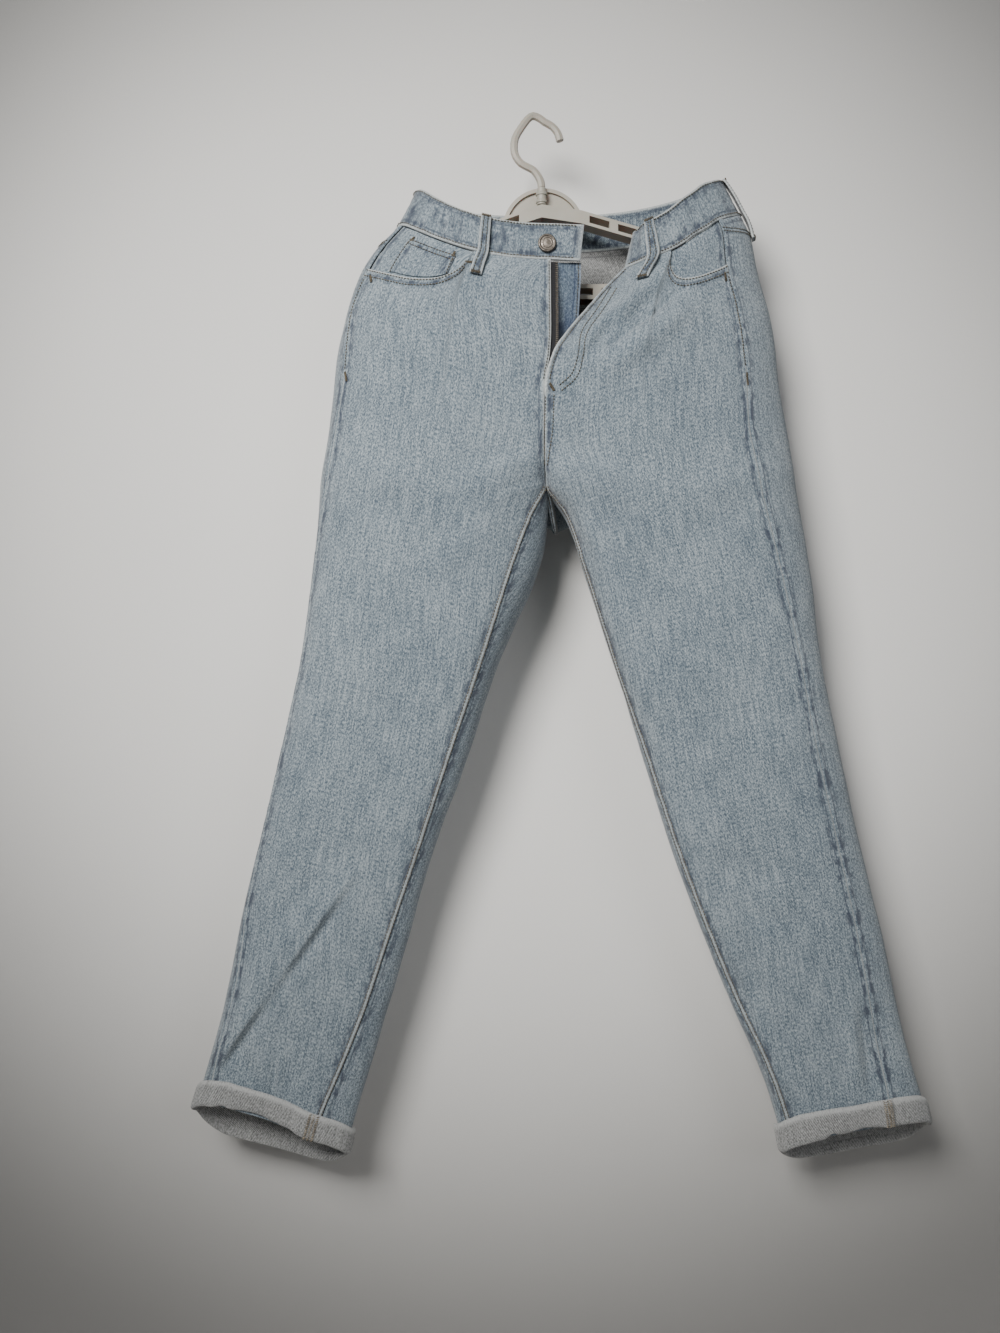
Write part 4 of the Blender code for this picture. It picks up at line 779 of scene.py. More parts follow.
def build_cuff(half):
    """Turned-up hem: a soft closed band round the foot of the leg, wrong side out."""
    ts = np.concatenate([FRONT_T[:-1], BACK_T[::-1][:-1]])
    back = np.concatenate([np.zeros(len(FRONT_T) - 1, bool), np.ones(len(BACK_T) - 1, bool)])
    section = smooth_curve(CUFF_SECTION, 2)
    outer = np.zeros((len(section), len(ts), 3))
    dent = np.zeros(len(ts))
    lift = np.zeros(len(ts))
    for side, on_back, place, width, depth, rise in CUFF_DENTS:
        if side == half.name:
            bump = np.where(back == on_back, np.exp(-(((ts - place) / width) ** 2)), 0)
            dent += depth * bump
            lift += rise * bump
    ring = ring_points(half, ts, back, np.full(len(ts), 18.5))
    around = run_lengths(ring[None], 1)[0]
    total = around[-1] + np.linalg.norm(ring[0] - ring[-1])
    turn = around / total * 2 * math.pi
    round_x, round_y = np.cos(turn) * total / 2 / math.pi, np.sin(turn) * total / 2 / math.pi
    wave = noise_field(round_x, round_y, 24.0, 3.3 if half.name == "left" else 8.3)
    fine = noise_field(round_x, round_y, 9.0, 1.7)
    for i, (share, out) in enumerate(section):
        foot = smooth_step((share - 0.35) / 0.6)
        u = CUFF_ROW + (HEM_ROW - 0.02 - CUFF_ROW) * share + (0.03 * wave - lift / CUFF_TALL) * foot + 0.012 * fine
        bulge = smooth_step(out / 3.5)
        far = out + bulge * (-dent * (1 - abs(share - 0.5)) + 0.5 * wave + 0.25 * fine)
        outer[i] = ring_points(half, ts, back, u) + ring_normals(half, ts, back, u) * far[:, None]
    lengths = run_lengths(outer, 0)
    rows, cols = outer.shape[:2]
    quads = grid_quads(rows, cols, closed=True)
    j = np.arange(cols)
    low = (rows - 1) * cols
    quads = np.concatenate([quads, np.stack([low + j, low + (j + 1) % cols, (j + 1) % cols, j], axis=1)])
    edge = np.abs(section[:, 0] - 0.02) * 26 + 30 * (section[:, 1] < 0)
    wash = np.zeros((rows, cols, 3))
    wash[..., 0] = 60.0
    wash[..., 1] = np.exp(-((edge / 2.0) ** 2))[:, None]
    cloth = np.stack([np.repeat(around[None, :], rows, axis=0), lengths, np.zeros((rows, cols))], axis=-1)
    thing = add_mesh(f"cloth_cuff_{half.name}", outer.reshape(-1, 3), quads, ("reverse",),
                     fields={"cloth": cloth.reshape(-1, 3), "wash": wash.reshape(-1, 3)},
                     replaces=f"cuff_{half.name}", sharp=80)
    shown = np.concatenate([outer[4:24], outer[4:24, :1]], axis=1)
    PIECES[f"cuff_{half.name}"] = {"outer": outer, "ts": ts, "back": back, "section": section}
    width, length = total * MM, float(lengths[-1].mean()) * MM
    SHEETS.append((thing.name, round(width, 3), round(length, 3), round(width * length, 4)))
    return shown


def ring_points(half, ts, back, u):
    return np.where(back[:, None], half.at(u, ts, True), half.at(u, ts, False))


def ring_normals(half, ts, back, u):
    return np.where(back[:, None], half.normal(u, ts, True), half.normal(u, ts, False))


def build_fly(right):
    """Shield and zip tapes behind the fly's edges."""
    table = np.array(((0.03, 45.0, 1.5), (1, 45.0, 3.0), (2, 43.5, 8.0), (3, 42.0, 13.0), (4, 38.0, 14.0),
                      (4.6, 30.0, 12.0)))
    u = np.linspace(0.03, 4.6, 44)
    x_end, sink = np.interp(u, table[:, 0], table[:, 1]), np.interp(u, table[:, 0], table[:, 2])
    edge = right.at(u, np.ones(44), False)
    hidden = 9.0
    share = np.linspace(0, 1, 26)[None, :]
    x = edge[:, :1] - hidden + (x_end[:, None] - edge[:, :1] + hidden) * share
    past = smooth_step((x - edge[:, :1]) / SHIELD_BEND)
    y = edge[:, 1:2] + DENIM + 2.0 + sink[:, None] * past
    z = np.repeat(edge[:, 2:] - 1.0, 26, axis=1)
    grid = np.stack([x, y, z], axis=-1)
    normals = unit(np.cross(np.gradient(grid, axis=0), np.gradient(grid, axis=1)))
    normals *= np.sign(-normals[..., 1:2])
    across, down = run_lengths(grid, 1), run_lengths(grid, 0)
    free = across[:, -1:] - across
    ripple = noise_field(across, down, 10.0, 4.4)
    grid = grid + normals * (0.5 * ripple * smooth_step(free / 4) + 0.3 * smooth_step((4 - free) / 1.0))[..., None]
    # Darker towards the foot of the shield, with painted shade in the valleys of its ripples
    foot_dark_and_painted_shade = np.clip(smooth_step((down / down[-1:] - 0.22) / 0.5) + 0.35 * smooth_step(-ripple * 1.5), 0, 1)
    wash = np.stack([free, np.exp(-((free / 1.2) ** 2)) * (1 - foot_dark_and_painted_shade), foot_dark_and_painted_shade], axis=-1)
    thing = add_wall("cloth_fly_shield", grid, grid - normals * 1.6, across, down, wash, ("shield", "shield"),
                     "fly_shield")
    cut_size(thing, grid)
    PIECES["fly_shield"] = {"outer": grid, "normals": normals, "across": across, "total": across[:, -1:], "down": down}

    rows = np.linspace(0.05, 4.6, 60)
    edge = right.at(rows, np.ones(60), False)
    tape = np.stack([edge + np.array([dx, DENIM + 0.5, -1.0]) for dx in np.linspace(-9.0, 5.5, 9)], axis=1)
    flat = np.zeros_like(tape)
    flat[..., 1] = -1.0
    zip_tape("zip_tape_right", tape, flat)
    panel = PIECES["front_left"]
    stop = int(np.searchsorted(panel["u"][:, -1], 1.98))
    keep = panel["total"] - panel["across"] < 14.0
    first = int(np.nonzero(keep.all(axis=0) | keep[0])[0][0])
    grid, normals = panel["outer"][1:stop, first:-1], panel["normals"][1:stop, first:-1]
    zip_tape("zip_tape_left", grid - normals * (DENIM + 0.6), normals)
    zip_teeth("zip_teeth_right", tape[:, -1] + np.array([0.4, -0.2, 0]), np.array([1.0, 0, 0]))
    zip_teeth("zip_teeth_left", grid[:, -1] - normals[:, -1] * (DENIM + 1.6), np.array([-1.0, 0, 0]))


def zip_tape(name, grid, normals):
    across, down = run_lengths(grid, 1), run_lengths(grid, 0)
    wash = np.zeros(grid.shape)
    wash[..., 0] = 60
    thing = add_wall(f"cloth_{name}", grid, grid - normals * 0.8, across, down, wash, ("tape",), name)
    cut_size(thing, grid)


def zip_teeth(name, line, side):
    """A row of small teeth along the tape's edge."""
    pitch, depth, tall, reach = 2.0, 1.5, 1.1, 2.6
    length = np.concatenate([[0], np.cumsum(np.linalg.norm(np.diff(line, axis=0), axis=1))])
    verts, quads = [], []
    for k, where in enumerate(np.arange(1.0, length[-1] - 1.0, pitch)):
        centre = np.array([np.interp(where, length, line[:, i]) for i in range(3)])
        for x, half_tall in ((-0.5 * reach, 0.4 * tall), (0.2 * reach, 0.5 * tall), (0.5 * reach, 0.3 * tall)):
            for y, z in ((-1, -1), (1, -1), (1, 1), (-1, 1)):
                verts.append(centre + side * x + np.array([0, y * depth / 2, z * half_tall]))
        first = k * 12
        for ring in (0, 4):
            for m in range(4):
                a, b = first + ring + m, first + ring + (m + 1) % 4
                quads.append((a, b, b + 4, a + 4))
        quads.append((first + 3, first + 2, first + 1, first))
        quads.append((first + 8, first + 9, first + 10, first + 11))
    add_mesh(name, np.array(verts), np.array(quads), ("brass",), sharp=30)


# Sewing
THREAD = 0.58


class Sewing:
    """Stitches gathered into one mesh."""

    def __init__(self, name, look):
        self.name, self.look = name, look
        self.verts, self.quads, self.count = [], [], 0

    def add(self, centres, along, normals, length, radius, lift=0.1):
        along = unit(along)
        side = unit(np.cross(normals, along))
        rings = []
        for offset, scale, high in ((-0.5, 0.45, 0.0), (-0.28, 1.0, 0.75), (0.28, 1.0, 0.75), (0.5, 0.45, 0.0)):
            middle = centres + along * (offset * length) + normals * (lift + high * radius)
            for angle in (0.25, 0.75, 1.25, 1.75):
                s, n = math.cos(angle * math.pi), math.sin(angle * math.pi)
                rings.append(middle + (side * s + normals * n) * (radius * scale))
        block = np.stack(rings, axis=1)
        size = len(centres)
        first = self.count + np.arange(size)[:, None] * 16
        faces = []
        for ring in (0, 4, 8):
            for m in range(4):
                n = (m + 1) % 4
                faces.append([ring + m, ring + 4 + m, ring + 4 + n, ring + n])
        faces += [[0, 1, 2, 3], [15, 14, 13, 12]]
        self.verts.append(block.reshape(-1, 3))
        self.quads.append((first[:, :, None] + np.array(faces)[None]).reshape(-1, 4))
        self.count += size * 16

    def line(self, points, normals, pitch=3.1, length=2.5, radius=THREAD):
        """A row of stitches along a dense line."""
        steps = np.linalg.norm(np.diff(points, axis=0), axis=1)
        along = np.concatenate([[0], np.cumsum(steps)])
        spots = np.arange(pitch / 2, along[-1], pitch)
        if len(spots) < 2:
            return
        centres = np.stack([np.interp(spots, along, points[:, k]) for k in range(3)], axis=1)
        out = unit(np.stack([np.interp(spots, along, normals[:, k]) for k in range(3)], axis=1))
        self.add(centres, np.gradient(centres, axis=0), out, length, radius)

    def block(self, centre, normal, direction, length, width, pitch=0.85, radius=0.5):
        """A bartack: dense stitches across a short line."""
        direction = unit(direction - normal * np.dot(direction, normal))
        side = np.cross(normal, direction)
        spots = np.arange(-length / 2, length / 2 + 0.01, pitch)
        centres = centre + spots[:, None] * direction
        tilt = side + direction * 0.25 * np.where(np.arange(len(spots)) % 2, 1, -1)[:, None]
        self.add(centres, tilt, np.repeat(normal[None], len(spots), axis=0), width, radius, 0.35)

    def finish(self):
        verts, quads = np.concatenate(self.verts), np.concatenate(self.quads)
        add_mesh(self.name, verts, quads, (self.look,), sharp=180)


def beside(name, distance, rows=(0, None), far=False):
    """Line on a piece at a distance from its first column's edge, or from its last column's edge."""
    piece = PIECES[name]
    across, total = piece["across"], piece["total"]
    last = len(across) if rows[1] is None else rows[1]
    i = np.arange(rows[0], last)
    wanted = np.full(len(i), float(distance))
    if far:
        wanted = total[i, 0] - wanted
    j = np.array([np.interp(w, across[k], np.arange(across.shape[1])) for w, k in zip(wanted, i)])
    return sample(piece["outer"], i.astype(float), j), sample(piece["normals"], i.astype(float), j)


def below(name, distance, cols=(0, None), from_foot=False):
    """Line on a piece at a distance below its top edge, or above its foot."""
    piece = PIECES[name]
    down = piece["down"]
    last = down.shape[1] if cols[1] is None else cols[1]
    j = np.arange(cols[0], last)
    wanted = down[-1, j] - distance if from_foot else np.full(len(j), float(distance))
    i = np.array([np.interp(w, down[:, k], np.arange(down.shape[0])) for w, k in zip(wanted, j)])
    return sample(piece["outer"], i, j.astype(float)), sample(piece["normals"], i, j.astype(float))


def row_of(name, u):
    """Grid row of a panel at row u of its half, at its inner edge."""
    return int(np.searchsorted(PIECES[name]["u"][:, -1], u))


# The photograph's view: place of the eye, and millimetres a pixel at the plane y = 0
EYE_X, EYE_Y, EYE_Z = -33.0, -1100.0, -546.5
FRAME_W, FRAME_H = 1000, 1333


def picture_place(points):
    """Where points show in the photograph, in its pixels."""
    scale = -EYE_Y / (points[..., 1] - EYE_Y)
    px = FRAME_W / 2 + (points[..., 0] - EYE_X) * scale
    py = FRAME_H / 2 - (points[..., 2] - EYE_Z) * scale
    return np.stack([px, py], axis=-1)


def through(name, places, step=2.0):
    """Line on a piece that shows at the given places of the photograph."""
    piece = PIECES[name]
    shown = picture_place(piece["outer"])
    line = smooth_curve(places, 6)
    length = np.concatenate([[0], np.cumsum(np.linalg.norm(np.diff(line, axis=0), axis=1))])
    spots = np.arange(0, length[-1], step)
    wanted = np.stack([np.interp(spots, length, line[:, k]) for k in range(2)], axis=1)
    i, j = np.zeros(len(wanted)), np.zeros(len(wanted))
    for k, spot in enumerate(wanted):
        far = np.linalg.norm(shown - spot, axis=-1)
        near = far + np.where(far < 6, 0.15 * (piece["outer"][..., 1] - piece["outer"][..., 1].min()), 0)
        i[k], j[k] = np.unravel_index(np.argmin(near), near.shape)
    for _ in range(5):
        here = sample(shown, i, j)
        di = sample(shown, i + 0.5, j) - sample(shown, i - 0.5, j)
        dj = sample(shown, i, j + 0.5) - sample(shown, i, j - 0.5)
        det = di[:, 0] * dj[:, 1] - di[:, 1] * dj[:, 0]
        det = np.where(np.abs(det) < 0.05, np.inf, det)
        off = wanted - here
        i = i + np.clip((off[:, 0] * dj[:, 1] - off[:, 1] * dj[:, 0]) / det, -0.8, 0.8)
        j = j + np.clip((di[:, 0] * off[:, 1] - di[:, 1] * off[:, 0]) / det, -0.8, 0.8)
    return sample(piece["outer"], i, j), sample(piece["normals"], i, j)


J_STITCH = ((617, 288), (603, 310), (587, 333), (583, 356), (577, 376), (561, 391))
J_STITCH_INNER = ((611, 287), (597, 309), (582, 331), (578, 354), (572, 373), (558, 386))
ROLL_LINE = ((679, 287), (662, 302), (642, 318), (620, 335))
CENTRE_LINES = (((545.5, 396), (545, 430), (545, 466)), ((554, 394), (552.5, 430), (547.5, 466)))
RIGHT_TACKS = ((371, 279, 8, 80), (469, 262, 7, 60), (346, 377, 10, 80))
LEFT_TACKS = ((725.5, 277, 9, 85), (747, 379, 12, 85), (552, 387, 8, 60))


def build_sewing():
    """Topstitching in tan and the denser bartacks in brown."""
    tan = Sewing("topstitching", "thread")
    brown = Sewing("bartacks", "bartack")
    for side in ("right", "left"):
        front, rear = f"front_{side}", f"back_{side}"
        crotch = row_of(front, CROTCH_ROW)
        for distance in (STITCH_NEAR, STITCH_FAR):
            tan.line(*beside(front, distance, (crotch, None), far=True))
            tan.line(*beside(rear, distance, (0, row_of(rear, CROTCH_ROW)), far=True))
        tan.line(*beside(front, 1.6, (4, int(TOP_STEPS * 0.72))))
        end = int(np.searchsorted(FRONT_T, OPENING[-1][0])) - 1
        tan.line(*below(front, 1.8, (1, end)))
        tan.line(*below(front, 7.4, (1, end)))
        for distance in (STITCH_NEAR, STITCH_FAR):
            tan.line(*below(f"yoke_{side}", distance, from_foot=True))
        pocket = f"back_pocket_{side}"
        for distance in (1.4, 5.2):
            tan.line(*beside(pocket, distance))
            tan.line(*beside(pocket, distance, far=True))
            tan.line(*below(pocket, distance, from_foot=True))
        tan.line(*below(pocket, 2.0))
        tan.line(*below(pocket, 11.0))
        for far in (False, True):
            points, normals = beside(pocket, 3.0, (1, 8), far=far)
            brown.block(points[1], normals[1], np.array([0.0, 0, 1]), 8.0, 3.0)
    tan.line(*beside("front_right", 1.8, (1, row_of("front_right", 4.9)), far=True))
    tan.line(*beside("front_left", 4.4, (1, row_of("front_left", 4.9)), far=True))
    tan.line(*through("front_left", J_STITCH))
    tan.line(*through("front_left", J_STITCH_INNER))
    for places in CENTRE_LINES:
        tan.line(*through("front_left", places))
    coin = "coin_pocket"
    for distance in (1.3, 5.6):
        tan.line(*below(coin, distance))
    tan.line(*beside(coin, 1.5))
    tan.line(*beside(coin, 1.5, far=True))
    for far in (False, True):
        points, normals = beside(coin, 2.4, (0, 4), far=far)
        brown.block(points[0], normals[0], points[3] - points[0], 5.5, 3.0)
    band = PIECES["waistband"]
    cols = band["outer"].shape[1]
    for high in (2.3, BAND_HEIGHT - 2.3):
        tan.line(*below("waistband", high, (2, cols - 2)))
    piece = dict(band, across=band["across"], total=band["across"][:, -1:])
    PIECES["waistband"] = piece
    for far in (False, True):
        tan.line(*beside("waistband", 3.2, (2, -2), far=far))
    tan.line(*beside("fly_shield", 2.4, far=True))
    for name, _, _ in LOOP_PLACES:
        for far in (False, True):
            tan.line(*beside(name, 3.0, far=far))
        for row, direction in ((2, 1), (-4, 1)):
            loop = PIECES[name]
            side = loop["outer"][row, -1] - loop["outer"][row, 0]
            brown.block(loop["outer"][row, 6], loop["normals"][row, 6], side * direction, 8.6, 3.2)
    for panel, tacks in (("front_right", RIGHT_TACKS), ("front_left", LEFT_TACKS)):
        for px, py, length, angle in tacks:
            run = 6 * np.array([math.cos(math.radians(angle)), math.sin(math.radians(angle))])
            places = [(px - run[0], py - run[1]), (px, py), (px + run[0], py + run[1])]
            points, normals = through(panel, places, 1.0)
            middle = len(points) // 2
            brown.block(points[middle], normals[middle], points[-1] - points[0], length, 3.0)
    tan.finish()
    brown.finish()


def build_overlock():
    """Overlocked inseam ends that show on the turned-up cuffs."""
    for side, back, shares in (("right", False, (0.90, 0.965)), ("left", False, (0.015, 0.075))):
        work = Sewing(f"overlock_{side}", "overlock")
        cuff = PIECES[f"cuff_{side}"]
        cols = np.nonzero(cuff["back"] == back)[0]
        for k in range(3):
            share = shares[0] + (shares[1] - shares[0]) * k / 2
            col = float(np.interp(share, cuff["ts"][cols], cols))
            rows = np.linspace(6.5, 21.5, 60)
            points = sample(cuff["outer"], rows, np.full(60, col))
            nearby = sample(cuff["outer"], rows, np.full(60, col + 0.5))
            normals = unit(np.cross(np.gradient(points, axis=0), nearby - points))
            normals *= np.sign(-normals[:, 1:2])
            length = np.concatenate([[0], np.cumsum(np.linalg.norm(np.diff(points, axis=0), axis=1))])
            spots = np.arange(0.8, length[-1], 1.9)
            centres = np.stack([np.interp(spots, length, points[:, i]) for i in range(3)], axis=1)
            out = unit(np.stack([np.interp(spots, length, normals[:, i]) for i in range(3)], axis=1))
            tilt = unit(nearby[0] - points[0]) + 0.5 * unit(np.gradient(centres, axis=0)) * (1 if k % 2 else -1)
            work.add(centres, tilt, out, 3.0, 0.5, 0.3)
        work.finish()


BUTTON_X, BUTTON_Z, BUTTON_RADIUS = 12.2, -140.0, 8.8


def turned(name, profile, steps, look, place, replaces=None, spokes=0, spoke_height=0.0):
    """A profile of radius and height turned about the front-to-back axis through a place."""
    profile = np.array(profile, float)
    angles = np.linspace(0, 2 * math.pi, steps, endpoint=False)
    r, h = profile[:, :1], profile[:, 1:]
    lift = spoke_height * np.cos(angles * spokes) * np.exp(-(((r - 0.78 * r.max()) / 0.9) ** 2)) if spokes else 0.0
    x, z = r * np.cos(angles), r * np.sin(angles)
    grid = np.stack([place[0] + x, place[1] - h - lift + 0 * x, place[2] + z], axis=-1)
    quads = grid_quads(len(profile), steps, closed=True)
    first, last = grid[0].mean(axis=0), grid[-1].mean(axis=0)
    verts = np.concatenate([grid.reshape(-1, 3), [first, last]])
    j = np.arange(0, steps, 2)
    n, far = (j + 1) % steps, (j + 2) % steps
    low, size = (len(profile) - 1) * steps, grid.shape[0] * steps
    caps = [np.stack([far, n, j, np.full(len(j), size)], axis=1),
            np.stack([low + j, low + n, low + far, np.full(len(j), size + 1)], axis=1)]
    return add_mesh(name, verts, np.concatenate([quads] + caps), (look,), replaces=replaces, sharp=40)


def build_button():
    """Shank button: a domed cap with a rolled rim, a ring of small ribs and a plain crown."""
    low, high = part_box("button")
    back = high[1] / MM
    profile = ((0.4, 0.0), (3.4, 0.0), (3.1, 0.8), (3.0, 1.6), (6.0, 1.7), (8.0, 1.9), (8.6, 2.2), (8.8, 2.7),
               (8.75, 3.2), (8.4, 3.7), (7.9, 3.95), (7.4, 4.0), (7.0, 3.85), (6.7, 3.45), (6.3, 3.3), (5.6, 3.4),
               (4.8, 3.55), (4.4, 3.75), (4.0, 3.65), (3.0, 3.8), (1.8, 3.95), (0.8, 4.0), (0.3, 4.0))
    turned("button_cap", profile, 64, "pewter", (BUTTON_X, back, BUTTON_Z), "button", 32, 0.08)


def build_hanger_details():
    """Two plain collar rings on the stem, an upper and a lower."""
    collar = ((0.3, 0.0), (5.3, 0.0), (5.6, 0.3), (5.6, 2.6), (5.3, 3.0), (0.3, 3.0))
    for name, z in (("collar_upper", -76.0), ("collar_lower", -83.6)):
        ring(name, collar, (8.5, 0.0, z))


def ring(name, profile, place):
    """A profile of radius and height turned about the upright axis through a place."""
    steps = 40
    profile = np.array(profile, float)
    angles = np.linspace(0, 2 * math.pi, steps, endpoint=False)
    x, y = profile[:, :1] * np.cos(angles), profile[:, :1] * np.sin(angles)
    grid = np.stack([place[0] + x, place[1] + y, place[2] + profile[:, 1:] + 0 * x], axis=-1)
    size = grid.shape[0] * steps
    verts = np.concatenate([grid.reshape(-1, 3), [grid[0].mean(axis=0), grid[-1].mean(axis=0)]])
    j = np.arange(0, steps, 2)
    n, far = (j + 1) % steps, (j + 2) % steps
    low = (len(profile) - 1) * steps
    caps = [np.stack([far, n, j, np.full(len(j), size)], axis=1),
            np.stack([low + j, low + n, low + far, np.full(len(j), size + 1)], axis=1)]
    quads = np.concatenate([grid_quads(len(profile), steps, closed=True)] + caps)
    add_mesh(name, verts, quads, ("plastic",), sharp=40)


LOOKS = {}


class Look:
    """A material and short calls that add nodes to it."""

    def __init__(self, name, tone):
        self.material = bpy.data.materials.new(name)
        self.material.use_nodes = True
        self.material.diffuse_color = (*tone, 1)
        self.tree = self.material.node_tree
        self.shader = self.tree.nodes["Principled BSDF"]
        LOOKS[name] = self.material

    def put(self, socket, value):
        if isinstance(value, bpy.types.NodeSocket):
            self.tree.links.new(value, socket)
        elif isinstance(value, tuple) and len(value) == 3 and socket.type == "RGBA":
            socket.default_value = (*value, 1)
        else:
            socket.default_value = value

    def node(self, kind, inputs=(), **settings):
        made = self.tree.nodes.new(kind)
        for key, value in settings.items():
            setattr(made, key, value)
        for key, value in dict(inputs).items():
            self.put(made.inputs[key], value)
        return made

    def math(self, operation, a, b=0.0, clamp=False):
        return self.node("ShaderNodeMath", {0: a, 1: b}, operation=operation, use_clamp=clamp).outputs[0]

    def span(self, value, low, high, to_low=0.0, to_high=1.0):
        """Smooth step of a value between two limits."""
        made = self.node("ShaderNodeMapRange", {"Value": value, "From Min": low, "From Max": high,
                                                "To Min": to_low, "To Max": to_high},
                         interpolation_type="SMOOTHSTEP")
        return made.outputs["Result"]

    def noise(self, vector, scale, detail=2.0, rough=0.5):
        made = self.node("ShaderNodeTexNoise", {"Vector": vector, "Scale": scale, "Detail": detail,
                                                "Roughness": rough})
        return made.outputs["Fac"]

    def mix(self, factor, a, b):
        made = self.node("ShaderNodeMix", data_type="RGBA")
        for socket, value in ((made.inputs[0], factor), (made.inputs[6], a), (made.inputs[7], b)):
            self.put(socket, value)
        return made.outputs[2]

    def ramp(self, value, stops):
        made = self.node("ShaderNodeValToRGB", {"Fac": value})
        points = made.color_ramp.elements
        while len(points) < len(stops):
            points.new(0.5)
        for point, (place, colour) in zip(points, stops):
            point.position, point.color = place, (*colour, 1)
        return made.outputs["Color"]

    def finish(self, colour, roughness, bump=None, depth=0.0003, **more):
        self.put(self.shader.inputs["Base Color"], colour)
        self.put(self.shader.inputs["Roughness"], roughness)
        if bump is not None:
            made = self.node("ShaderNodeBump", {"Height": bump, "Strength": 1.0, "Distance": depth})
            self.put(self.shader.inputs["Normal"], made.outputs["Normal"])
        for key, value in more.items():
            self.put(self.shader.inputs[key.replace("_", " ")], value)


def denim_look(name, dark, middle, light, indigo, worn, grain=1.0, mottles=1.0, twill=0.16, warp=1.0):
    """Twill with speckle and slubs, washed paler on sewn ridges with indigo left in mottles beside them; painted shade
    as a dark root on the seam line and a dark line 5.6 mm beside it; and painted shade from the third channel in the
    grooves and creases of pieces that set it, which the fly shield also uses for its darker foot.
    """
    look = Look(name, middle)
    cloth = look.node("ShaderNodeAttribute", attribute_name="cloth").outputs["Vector"]
    wash = look.node("ShaderNodeAttribute", attribute_name="wash").outputs["Vector"]
    place = look.node("ShaderNodeSeparateXYZ", {0: cloth})
    across, along = place.outputs[0], place.outputs[1]
    # Channels: seam distance, wear, and a darkening that pieces set for painted shade in grooves and creases, and the
    # fly shield also for its darker foot
    state = look.node("ShaderNodeSeparateXYZ", {0: wash})
    seam, wear, left = state.outputs[0], state.outputs[1], state.outputs[2]

    def stretched(x_share, y_share, shift):
        parts = {0: look.math("MULTIPLY", across, x_share), 1: look.math("MULTIPLY", along, y_share), 2: shift}
        return look.node("ShaderNodeCombineXYZ", parts).outputs[0]

    speck = look.noise(stretched(1.0, 0.55, 0.0), 0.72, 3.0, 0.75)
    slub = look.noise(stretched(1.0, 0.07, 7.0), 0.45, 2.0)
    blotch = look.noise(stretched(1.0, 0.7, 13.0), 0.085, 2.0)
    broad = look.noise(stretched(1.0, 1.0, 29.0), 0.0125, 3.0)
    lines = look.math("MULTIPLY_ADD", across, 3.6 * warp)
    lines.node.inputs[2].default_value = 0.0
    slant = look.math("ADD", lines, look.math("MULTIPLY", along, 2.6))
    weave = look.math("SINE", slant)
    value = look.math("MULTIPLY_ADD", look.math("SUBTRACT", speck, 0.5), 2.9 * grain)
    value.node.inputs[2].default_value = 0.5
    for part, weight in ((slub, 0.75), (blotch, 0.22), (broad, 0.3)):
        value = look.math("ADD", value, look.math("MULTIPLY", look.math("SUBTRACT", part, 0.5), weight))
    value = look.math("ADD", value, look.math("MULTIPLY", weave, twill * 0.5))
    colour = look.ramp(value, ((0.12, dark), (0.5, middle), (0.88, light)))
    spots = look.span(look.noise(stretched(0.16, 0.065, 41.0), 1.0, 2.0), 0.47, 0.60)
    band = look.math("MULTIPLY", look.span(seam, 1.5, 4.0), look.span(seam, 13.0, 5.0))
    indigo_and_painted_shade = look.math("MULTIPLY", look.math("MULTIPLY", spots, band), 0.85 * mottles)
    # Painted shade: a dark line 5.6 mm from the seam, in the groove beyond its ridge, and a dark root in the seam's
    # own groove
    line = look.math("MULTIPLY", look.span(look.math("ABSOLUTE", look.math("SUBTRACT", seam, 5.6)), 1.3, 0.3), 0.6)
    root = look.math("MULTIPLY", look.span(seam, 1.2, 0.2), 0.9)
    indigo_and_painted_shade = look.math("MAXIMUM", indigo_and_painted_shade, look.math("MAXIMUM", line, root))
    # Painted shade, and the shield's darker foot, from the third channel
    indigo_and_painted_shade = look.math("MAXIMUM", indigo_and_painted_shade, look.math("MULTIPLY", left, look.span(blotch, 0.3, 0.62)))
    colour = look.mix(indigo_and_painted_shade, colour, indigo)
    rubbed = look.math("MULTIPLY", wear, look.span(speck, 0.25, 0.6, 0.45, 0.95))
    colour = look.mix(rubbed, colour, worn)
    height = look.math("ADD", look.math("MULTIPLY", weave, 0.28), look.math("MULTIPLY", speck, 1.0))
    look.finish(colour, look.span(speck, 0.2, 0.8, 0.98, 0.86), height, 0.00035, Sheen_Weight=0.25,
                Sheen_Roughness=0.6, Specular_IOR_Level=0.25)


